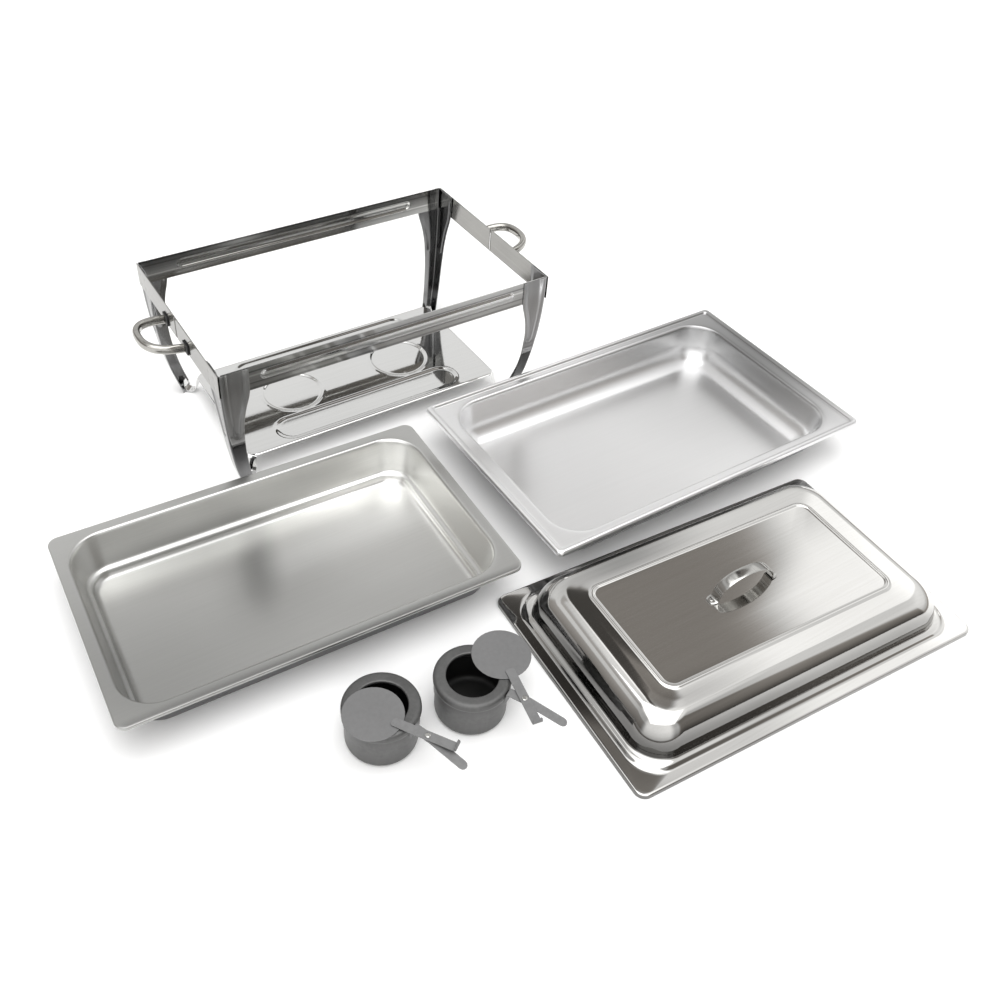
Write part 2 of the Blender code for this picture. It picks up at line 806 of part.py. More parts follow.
# --------------------------------------------------------- the fuel holders
def burner(side, at, arm_deg, swing):
    place = empty("burner_" + side + "_place", at[0], at[1], 0.0, 0.0, SET)

    # cup: a plain drawn can with an open top
    t = CUP_SHEET
    turned_sheet(
        "fuel_cup_" + side,
        [
            (14.0, t), (CUP_R - t - 6.0, t), (CUP_R - t - 2.6, t + 1.2),
            (CUP_R - t - 0.6, t + 3.4), (CUP_R - t, t + 6.4), (CUP_R - t, CUP_H),
        ],
        t, BURNER_STEEL, place,
    )

    # collar: the cap over the cup, with a rolled rim, a waist and a skirt
    turned_sheet(
        "burner_collar_" + side,
        [
            (MOUTH_R, COLLAR_TOP - 2.4), (MOUTH_R + 0.3, COLLAR_TOP - 0.7),
            (MOUTH_R + 1.4, COLLAR_TOP), (COLLAR_R - 5.0, COLLAR_TOP),
            (COLLAR_R - 1.8, COLLAR_TOP - 1.1), (COLLAR_R - 0.3, COLLAR_TOP - 3.4),
            (COLLAR_R, COLLAR_TOP - 6.4), (COLLAR_R - 0.5, COLLAR_TOP - 8.6),
            (COLLAR_R - 1.4, COLLAR_TOP - 10.4), (COLLAR_R - 1.7, COLLAR_TOP - 13.0),
            (COLLAR_R - 1.7, COLLAR_LOW),
        ],
        0.8, BURNER_STEEL, place, ring=True,
    )

    arm = empty("burner_" + side + "_arm", 0.0, 0.0, 0.0, arm_deg, place)

    # fixed strip: a tab down the collar's side, bent out to a long flat tail
    w = STRIP_W / 2
    z1 = COLLAR_TOP + 0.9
    z0 = z1 - 1.2
    x_in = COLLAR_R + 0.35
    n = 6
    knee = PIVOT_R + 6.0
    outline = [(x_in + 1.2 + 1.2, -w), (knee, -w), (STRIP_END - w, -w)]
    for k in range(1, n):
        a = math.radians(-90.0 + 180.0 * k / n)
        outline.append((STRIP_END - w + w * math.cos(a), w * math.sin(a)))
    outline += [(STRIP_END - w, w), (knee, w), (x_in + 1.2 + 1.2, w)]

    def strip_place(u, v, h):
        fall = STRIP_DROP * max(u - knee, 0.0) / (STRIP_END - knee)
        return Vector((u, v, z1 + h - fall))

    bm = pressed_plate(outline, [], [disc(PIVOT_R, 0.0, RIVET_R + 0.3, 12)], 1.2, strip_place)
    # the tab: continue the inner end of the strip down the collar's side
    bm.verts.ensure_lookup_table()
    end_verts = [v for v in bm.verts if abs(v.co.x - outline[0][0]) < 1e-4]
    end_faces = [f for f in bm.faces if all(v in end_verts for v in f.verts)]
    keep = sorted(end_verts, key=lambda v: (v.co.y, v.co.z))
    bmesh.ops.delete(bm, geom=end_faces, context="FACES_ONLY")
    lo_a, hi_a, lo_b, hi_b = keep[0], keep[1], keep[2], keep[3]
    ring = [lo_a, lo_b, hi_b, hi_a]
    steps = [
        ((x_in + 1.2 + 0.45, z0 - 0.25), (x_in + 0.75, z1 - 0.25)),
        ((x_in + 1.2, z0 - 1.1), (x_in, z1 - 1.2)),
        ((x_in + 1.2, z0 - 15.0), (x_in, z0 - 15.0)),
    ]
    for (ax, az), (bx, bz) in steps:
        nxt = [
            bm.verts.new((ax, -w, az)), bm.verts.new((ax, w, az)),
            bm.verts.new((bx, w, bz)), bm.verts.new((bx, -w, bz)),
        ]
        for k in range(4):
            m = (k + 1) % 4
            bm.faces.new((ring[k], ring[m], nxt[m], nxt[k]))
        ring = nxt
    bm.faces.new(ring)
    add("holder_strip_" + side, bm, COVER_STEEL, arm)

    # rivet through the strip and the lever
    za = z1 + 0.8             # underside of the lever
    zt = za + 1.2             # top of the lever
    turned_solid(
        "cover_rivet_" + side,
        [
            (3.0, z0 - 1.4), (3.2, z0 - 0.9), (3.2, z0 - GAP), (RIVET_R, z0 - GAP),
            (RIVET_R, zt + GAP), (3.4, zt + GAP), (3.3, zt + 0.8), (2.3, zt + 1.4),
        ],
        RIVET_STEEL, arm, 14, (PIVOT_R, 0.0),
    )

    # the cover and its lever turn together on the rivet
    pivot = empty("cover_" + side + "_pivot", PIVOT_R, 0.0, 0.0, swing, arm)
    zc = COLLAR_TOP + 0.4
    turned_solid(
        "cover_disc_" + side,
        [
            (COVER_R - 0.5, zc), (COVER_R, zc + 0.3), (COVER_R, zc + 0.7),
            (COVER_R - 0.4, zc + 1.0),
        ],
        COVER_STEEL, pivot, 36, (-PIVOT_R, 0.0),
    )
    lw = STRIP_W / 2 + 0.2
    back = -(PIVOT_R - 24.0)
    out = [(back + 2.0, -lw), (LEVER_TAIL - 8.0, -lw), (LEVER_TAIL - 8.0, lw), (back + 2.0, lw)]
    out += [(back, lw - 2.0), (back, -lw + 2.0)]

    def lever_place(u, v, h):
        return Vector((u, v, zt + h))

    bm = pressed_plate(out, [], [disc(0.0, 0.0, RIVET_R + 0.3, 12)], 1.2, lever_place)
    end_x = LEVER_TAIL - 8.0
    ends = sorted(
        [v for v in bm.verts if abs(v.co.x - end_x) < 1e-4],
        key=lambda v: (v.co.y, v.co.z),
    )
    end_faces = [f for f in bm.faces if all(v in ends for v in f.verts)]
    bmesh.ops.delete(bm, geom=end_faces, context="FACES_ONLY")
    ring = [ends[0], ends[2], ends[3], ends[1]]
    # the finger tab curls up and over
    r_mid = 4.2
    for k in range(1, 7):
        a = math.radians(150.0 * k / 6)
        wk = lw if k < 6 else lw - 0.6
        low = (end_x + (r_mid + 0.6) * math.sin(a), zt - 0.6 + r_mid - (r_mid + 0.6) * math.cos(a))
        top = (end_x + (r_mid - 0.6) * math.sin(a), zt - 0.6 + r_mid - (r_mid - 0.6) * math.cos(a))
        nxt = [
            bm.verts.new((low[0], -wk, low[1])), bm.verts.new((low[0], wk, low[1])),
            bm.verts.new((top[0], wk, top[1])), bm.verts.new((top[0], -wk, top[1])),
        ]
        for i in range(4):
            m = (i + 1) % 4
            bm.faces.new((ring[i], ring[m], nxt[m], nxt[i]))
        ring = nxt
    bm.faces.new(ring)
    add("cover_lever_" + side, bm, COVER_STEEL, pivot)


burner("left", BURNER_LEFT_AT, BURNER_LEFT_ARM, COVER_LEFT_SWING)
burner("right", BURNER_RIGHT_AT, BURNER_RIGHT_ARM, COVER_RIGHT_SWING)
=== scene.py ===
"""The looks of the chafing dish set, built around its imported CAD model."""
import math

import bmesh
import bpy
from mathutils import Matrix, Vector


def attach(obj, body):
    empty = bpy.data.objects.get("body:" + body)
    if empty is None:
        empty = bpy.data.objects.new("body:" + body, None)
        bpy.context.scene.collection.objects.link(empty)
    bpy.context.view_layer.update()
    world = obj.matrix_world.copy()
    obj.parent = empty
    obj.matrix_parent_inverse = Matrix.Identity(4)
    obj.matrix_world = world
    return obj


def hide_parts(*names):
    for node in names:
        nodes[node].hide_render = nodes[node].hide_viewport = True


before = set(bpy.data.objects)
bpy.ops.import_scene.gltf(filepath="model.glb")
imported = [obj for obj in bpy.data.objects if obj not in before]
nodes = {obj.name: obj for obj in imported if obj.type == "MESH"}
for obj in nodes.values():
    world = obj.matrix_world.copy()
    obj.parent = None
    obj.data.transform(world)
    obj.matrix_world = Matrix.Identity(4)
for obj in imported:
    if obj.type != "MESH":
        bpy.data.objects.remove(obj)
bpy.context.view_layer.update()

MM = 0.001
sc = bpy.context.scene

# ------------------------------------------------------------ the set's plan
SHIFT = (-41.4, 345.535)
STAND_AT = (0.0, 0.0, 0.0)
WATER_AT = (329.8, -344.7, 0.2)
FOOD_AT = (-261.3, -341.3, -1.9)
LID_AT = (226.6, -674.5, -2.9)
BURNER = {
    "left": ((-262.4, -603.3), -69.2, 13.9),
    "right": ((-150.5, -620.4), -60.9, -39.3),
}


def place_matrix(at):
    x, y, turn = at
    return Matrix.Translation(((x + SHIFT[0]) * MM, (y + SHIFT[1]) * MM, 0.0)) @ Matrix.Rotation(
        math.radians(turn), 4, "Z"
    ) @ Matrix.Scale(MM, 4)


STAND_M = place_matrix(STAND_AT)

# ---------------------------------------------------------------- camera
pitch, roll = math.radians(40.53), math.radians(3.18)
ahead = Vector((0.5521, 0.8338)).normalized()
fwd = Vector((math.cos(pitch) * ahead.x, math.cos(pitch) * ahead.y, -math.sin(pitch)))
right = Vector((ahead.y, -ahead.x, 0.0))
up = Vector((math.sin(pitch) * ahead.x, math.sin(pitch) * ahead.y, math.cos(pitch)))
r2 = right * math.cos(roll) + up * math.sin(roll)
u2 = -right * math.sin(roll) + up * math.cos(roll)
cam_data = bpy.data.cameras.new("camera")
cam = bpy.data.objects.new("camera", cam_data)
sc.collection.objects.link(cam)
m = Matrix((r2, u2, -fwd)).transposed().to_4x4()
m.translation = Vector(((-598.3 + SHIFT[0]) * MM, (-1233.3 + SHIFT[1]) * MM, 1.07615))
cam.matrix_world = m
cam_data.sensor_width = 36.0
cam_data.lens = 1055.8 * 36.0 / 1000.0
cam_data.shift_x = 0.04414
cam_data.shift_y = -0.06441
cam_data.clip_start = 0.05
cam_data.clip_end = 60.0
cam_data.dof.use_dof = False
sc.camera = cam

# ---------------------------------------------------------------- stage
sc.view_settings.view_transform = "Standard"
sc.view_settings.look = "None"


def new_material(name):
    mat = bpy.data.materials.new(name)
    mat.use_nodes = True
    nt = mat.node_tree
    return mat, nt, nt.nodes["Principled BSDF"]


floor_mat, nt, bsdf = new_material("pale_floor")
bsdf.inputs["Base Color"].default_value = (0.93, 0.93, 0.93, 1)
bsdf.inputs["Roughness"].default_value = 0.9
bsdf.inputs["Specular IOR Level"].default_value = 0.1
bm = bmesh.new()
bmesh.ops.create_circle(bm, cap_ends=True, cap_tris=False, segments=64, radius=14.0)
me = bpy.data.meshes.new("floor")
bm.to_mesh(me)
bm.free()
me.materials.append(floor_mat)
floor = bpy.data.objects.new("floor", me)
floor.location = (0.0, 0.0, -0.0003)
sc.collection.objects.link(floor)

# a plain pale backdrop for the low views; it throws no light on the steel and takes none away
back_mat, nt, bsdf = new_material("pale_backdrop")
bsdf.inputs["Base Color"].default_value = (0.0, 0.0, 0.0, 1)
bsdf.inputs["Specular IOR Level"].default_value = 0.0
bsdf.inputs["Emission Color"].default_value = (0.93, 0.93, 0.93, 1)
bsdf.inputs["Emission Strength"].default_value = 1.0
bm = bmesh.new()
bmesh.ops.create_uvsphere(bm, u_segments=64, v_segments=32, radius=30.0)
me = bpy.data.meshes.new("backdrop")
bm.to_mesh(me)
bm.free()
me.materials.append(back_mat)
backdrop = bpy.data.objects.new("backdrop", me)
sc.collection.objects.link(backdrop)
backdrop.visible_diffuse = False
backdrop.visible_glossy = False
backdrop.visible_transmission = False
backdrop.visible_volume_scatter = False
backdrop.visible_shadow = False

world = bpy.data.worlds.new("studio")
sc.world = world
world.use_nodes = True
wn = world.node_tree
for n in list(wn.nodes):
    wn.nodes.remove(n)
out = wn.nodes.new("ShaderNodeOutputWorld")
bg = wn.nodes.new("ShaderNodeBackground")
wn.links.new(bg.outputs[0], out.inputs[0])
tc = wn.nodes.new("ShaderNodeTexCoord")
sep = wn.nodes.new("ShaderNodeSeparateXYZ")
wn.links.new(tc.outputs["Generated"], sep.inputs[0])


def wmath(op, a, b=None, c=None):
    n = wn.nodes.new("ShaderNodeMath")
    n.operation = op
    for i, v in enumerate((a, b, c)):
        if v is None:
            continue
        if isinstance(v, (int, float)):
            n.inputs[i].default_value = v
        else:
            wn.links.new(v, n.inputs[i])
    return n.outputs[0]


def smooth_band(value, lo, hi):
    n = wn.nodes.new("ShaderNodeMapRange")
    n.interpolation_type = "SMOOTHERSTEP"
    wn.links.new(value, n.inputs[0])
    n.inputs[1].default_value = lo
    n.inputs[2].default_value = hi
    n.inputs[3].default_value = 0.0
    n.inputs[4].default_value = 1.0
    return n.outputs[0]


ramp = wn.nodes.new("ShaderNodeValToRGB")
ramp.color_ramp.interpolation = "EASE"
els = ramp.color_ramp.elements
stops = [
    (0.00, 0.10), (0.06, 0.09), (0.16, 0.15), (0.34, 0.21), (0.58, 0.235), (0.72, 0.21),
    (0.82, 0.21), (0.90, 0.42), (1.00, 0.50),
]
while len(els) < len(stops):
    els.new(0.5)
for e, (p, v) in zip(els, stops):
    e.position = p
    e.color = (v, v, v, 1)
wn.links.new(sep.outputs[2], ramp.inputs[0])
sky = wn.nodes.new("ShaderNodeRGBToBW")
wn.links.new(ramp.outputs[0], sky.inputs[0])
base = wmath("MULTIPLY", sky.outputs[0], 4.0)


def card(azimuth, az_soft, az_half, el_lo, el_hi, el_soft, gain):
    """A soft-edged panel in the studio round the set: gain is added to the light."""
    a = math.radians(azimuth)
    dirx, diry = math.sin(a), math.cos(a)
    dot = wmath("ADD", wmath("MULTIPLY", sep.outputs[0], dirx), wmath("MULTIPLY", sep.outputs[1], diry))
    flat = wmath("SQRT", wmath("SUBTRACT", 1.0001, wmath("MULTIPLY", sep.outputs[2], sep.outputs[2])))
    cosang = wmath("DIVIDE", dot, flat)
    inner = math.cos(math.radians(az_half))
    outer = math.cos(math.radians(az_half + az_soft))
    k = smooth_band(cosang, outer, inner)
    k = wmath("MULTIPLY", k, smooth_band(sep.outputs[2], el_lo - el_soft, el_lo))
    k = wmath("MULTIPLY", k, wmath("SUBTRACT", 1.0, smooth_band(sep.outputs[2], el_hi, el_hi + el_soft)))
    return wmath("MULTIPLY", k, gain)


# azimuth is counted from +Y towards +X
bright = [
    (68.0, 5.0, 7.0, 0.50, 0.86, 0.08, 0.45),
    (225.0, 22.0, 28.0, 0.15, 0.80, 0.12, 1.00),
]
dark = [
    (50.5, 5.0, 4.5, 0.70, 0.90, 0.035, 0.68),
    (37.0, 4.5, 5.0, 0.745, 0.92, 0.03, 0.92),
    (300.0, 22.0, 22.0, 0.26, 0.58, 0.10, 0.50),
    (151.0, 9.0, 11.0, 0.00, 0.80, 0.06, 0.66),
    (345.0, 18.0, 25.0, 0.80, 0.94, 0.05, 0.40),
]
total = base
for c in bright:
    total = wmath("ADD", total, card(*c))
held = 0.0
for c in dark:
    held = wmath("MAXIMUM", held, card(*c))
total = wmath("MULTIPLY", total, wmath("SUBTRACT", 1.0, held))
total = wmath("MAXIMUM", total, 0.02)
wn.links.new(total, bg.inputs["Strength"])
warm = wn.nodes.new("ShaderNodeMix")
warm.data_type = "RGBA"
wn.links.new(smooth_band(total, 0.25, 0.75), warm.inputs[0])
warm.inputs[6].default_value = (1.0, 0.93, 0.86, 1)
warm.inputs[7].default_value = (1.0, 0.998, 0.992, 1)
wn.links.new(warm.outputs[2], bg.inputs["Color"])


def area(name, loc, target, size, size_y, power, colour=(1, 1, 1)):
    d = bpy.data.lights.new(name, "AREA")
    d.shape = "RECTANGLE"
    d.size, d.size_y = size, size_y
    d.energy = power
    d.color = colour
    o = bpy.data.objects.new(name, d)
    o.location = loc
    o.rotation_euler = (Vector(target) - Vector(loc)).to_track_quat("-Z", "Y").to_euler()
    sc.collection.objects.link(o)
    return o


area("top_softbox", (-0.35, -0.6, 3.2), (-0.05, -0.1, 0.0), 3.0, 3.0, 46.0)


# ---------------------------------------------------------------- materials
class Tree:
    """Short calls for building a material's nodes."""

    def __init__(self, name):
        self.mat, self.nt, self.b = new_material(name)
        tc = self.nt.nodes.new("ShaderNodeTexCoord")
        self.obj = tc.outputs["Object"]

    def link(self, a, b):
        self.nt.links.new(a, b)

    def put(self, v, sock):
        if isinstance(v, (int, float)):
            sock.default_value = v
        elif isinstance(v, tuple):
            sock.default_value = (*v, 1.0) if len(v) == 3 else v
        else:
            self.link(v, sock)

    def mapped(self, scale, turn=0.0, move=(0, 0, 0)):
        n = self.nt.nodes.new("ShaderNodeMapping")
        self.link(self.obj, n.inputs[0])
        n.inputs["Location"].default_value = move
        n.inputs["Rotation"].default_value = (0, 0, math.radians(turn))
        n.inputs["Scale"].default_value = scale
        return n.outputs[0]

    def noise(self, vec, scale, detail=3.0, rough=0.5, distortion=0.0):
        n = self.nt.nodes.new("ShaderNodeTexNoise")
        self.link(vec, n.inputs["Vector"])
        n.inputs["Scale"].default_value = scale
        n.inputs["Detail"].default_value = detail
        n.inputs["Roughness"].default_value = rough
        n.inputs["Distortion"].default_value = distortion
        return n.outputs["Fac"]

    def math(self, op, a, b=0.0, c=0.0):
        n = self.nt.nodes.new("ShaderNodeMath")
        n.operation = op
        for i, v in enumerate((a, b, c)):
            self.put(v, n.inputs[i])
        return n.outputs[0]

    def spread(self, v, lo, hi, to_lo, to_hi, smooth=True):
        n = self.nt.nodes.new("ShaderNodeMapRange")
        n.interpolation_type = "SMOOTHSTEP" if smooth else "LINEAR"
        self.put(v, n.inputs[0])
        for i, q in enumerate((lo, hi, to_lo, to_hi)):
            n.inputs[i + 1].default_value = q
        return n.outputs[0]

    def mix(self, f, a, b):
        n = self.nt.nodes.new("ShaderNodeMix")
        n.data_type = "RGBA"
        self.put(f, n.inputs[0])
        self.put(a, n.inputs[6])
        self.put(b, n.inputs[7])
        return n.outputs[2]

    def bump(self, height, strength, distance, normal=None):
        n = self.nt.nodes.new("ShaderNodeBump")
        n.inputs["Strength"].default_value = strength
        n.inputs["Distance"].default_value = distance
        self.link(height, n.inputs["Height"])
        if normal is not None:
            self.link(normal, n.inputs["Normal"])
        return n.outputs[0]


def steel(name, light, dark, rough, rough_swing, grain=(14, 900, 900), grain_bump=0.05,
          smudge=6.0, turn=0.0, metallic=1.0, dents=0.0, wear=0.0, crevice_shade=0.5, light_shade_spots=(), contrast=1.0, steep_shading=1.0, endways_shade=1.0):
    """Sheet steel: drawn grain along one way, soft smudges, painted shade in creases, worn edges, painted shade and
    light by which way a face turns.

    The spots are soft patches and thin bands of painted shade and painted light standing in for shadows and
    reflections: (centre, size, turn, strength), in metres and degrees.
    """
    t = Tree(name)
    lines = t.noise(t.mapped(grain, turn), 1.0, 2.0, 0.55)
    clouds = t.noise(t.mapped((1, 1, 1)), smudge, 2.0, 0.45)
    fine = t.noise(t.mapped((1, 1, 1), move=(3, 1, 2)), 160.0, 3.0, 0.6)
    f = t.math("ADD", t.math("MULTIPLY", lines, 0.5), t.math("MULTIPLY", clouds, 0.5))
    half = 0.26 / contrast
    f = t.spread(f, 0.5 - half, 0.5 + half, 0.0, 1.0)
    col = t.mix(f, dark, light)
    if wear:
        geo = t.nt.nodes.new("ShaderNodeNewGeometry")
        edge = t.spread(geo.outputs["Pointiness"], 0.51, 0.58, 0.0, wear)
        edge = t.math("MULTIPLY", edge, t.spread(fine, 0.35, 0.6, 0.4, 1.0))
        col = t.mix(edge, col, tuple(min(1.0, c * 1.2 + 0.03) for c in light))
    shade = None
    # painted shade: ambient occlusion darkens the colour in creases, corners and joins between parts
    if crevice_shade:
        ao = t.nt.nodes.new("ShaderNodeAmbientOcclusion")
        ao.samples = 6
        ao.inputs["Distance"].default_value = 0.007
        shade = t.spread(ao.outputs["AO"], 0.15, 0.75, 1.0 - crevice_shade, 1.0)
    # painted shade: faces turned along X get a darker colour
    if endways_shade != 1.0:
        geo3 = t.nt.nodes.new("ShaderNodeNewGeometry")
        sep3 = t.nt.nodes.new("ShaderNodeSeparateXYZ")
        t.link(geo3.outputs["Normal"], sep3.inputs[0])
        k = t.spread(t.math("ABSOLUTE", sep3.outputs[0]), 0.45, 0.85, 1.0, endways_shade)
        shade = k if shade is None else t.math("MULTIPLY", shade, k)
    # painted light and shade by facing: a factor below 1 darkens steep faces (painted shade), above 1 brightens them
    # (painted light)
    if steep_shading != 1.0:
        geo2 = t.nt.nodes.new("ShaderNodeNewGeometry")
        sep2 = t.nt.nodes.new("ShaderNodeSeparateXYZ")
        t.link(geo2.outputs["Normal"], sep2.inputs[0])
        k = t.spread(t.math("ABSOLUTE", sep2.outputs[2]), 0.25, 0.92, steep_shading, 1.0)
        shade = k if shade is None else t.math("MULTIPLY", shade, k)
    # painted shade and painted light: each spot scales the colour inside a soft ellipsoid, darker below 1 and
    # brighter above 1
    for centre, size, ang, strength in light_shade_spots:
        sub_ = t.nt.nodes.new("ShaderNodeVectorMath")
        sub_.operation = "SUBTRACT"
        t.link(t.obj, sub_.inputs[0])
        sub_.inputs[1].default_value = centre
        rot = t.nt.nodes.new("ShaderNodeVectorRotate")
        rot.rotation_type = "Z_AXIS"
        t.link(sub_.outputs[0], rot.inputs["Vector"])
        rot.inputs["Angle"].default_value = -math.radians(ang)
        div = t.nt.nodes.new("ShaderNodeVectorMath")
        div.operation = "DIVIDE"
        t.link(rot.outputs[0], div.inputs[0])
        div.inputs[1].default_value = size
        ln = t.nt.nodes.new("ShaderNodeVectorMath")
        ln.operation = "LENGTH"
        t.link(div.outputs[0], ln.inputs[0])
        k = t.spread(ln.outputs["Value"], 0.0, 1.0, strength, 1.0)
        shade = k if shade is None else t.math("MULTIPLY", shade, k)
    if shade is not None:
        both = t.nt.nodes.new("ShaderNodeVectorMath")
        both.operation = "SCALE"
        t.link(col, both.inputs[0])
        t.put(shade, both.inputs["Scale"])
        col = both.outputs[0]
    t.put(col, t.b.inputs["Base Color"])
    t.b.inputs["Metallic"].default_value = metallic
    r = t.math("ADD", t.spread(clouds, 0.3, 0.7, rough - rough_swing, rough + rough_swing),
               t.math("MULTIPLY", t.math("SUBTRACT", lines, 0.5), rough_swing))
    t.put(t.math("MAXIMUM", r, 0.03), t.b.inputs["Roughness"])
    n = t.bump(lines, grain_bump, 0.0004)
    if dents:
        n = t.bump(t.noise(t.mapped((1, 1, 1), move=(2, 9, 4)), 7.0, 1.0, 0.4), dents, 0.004, n)
    t.put(n, t.b.inputs["Normal"])
    return t.mat


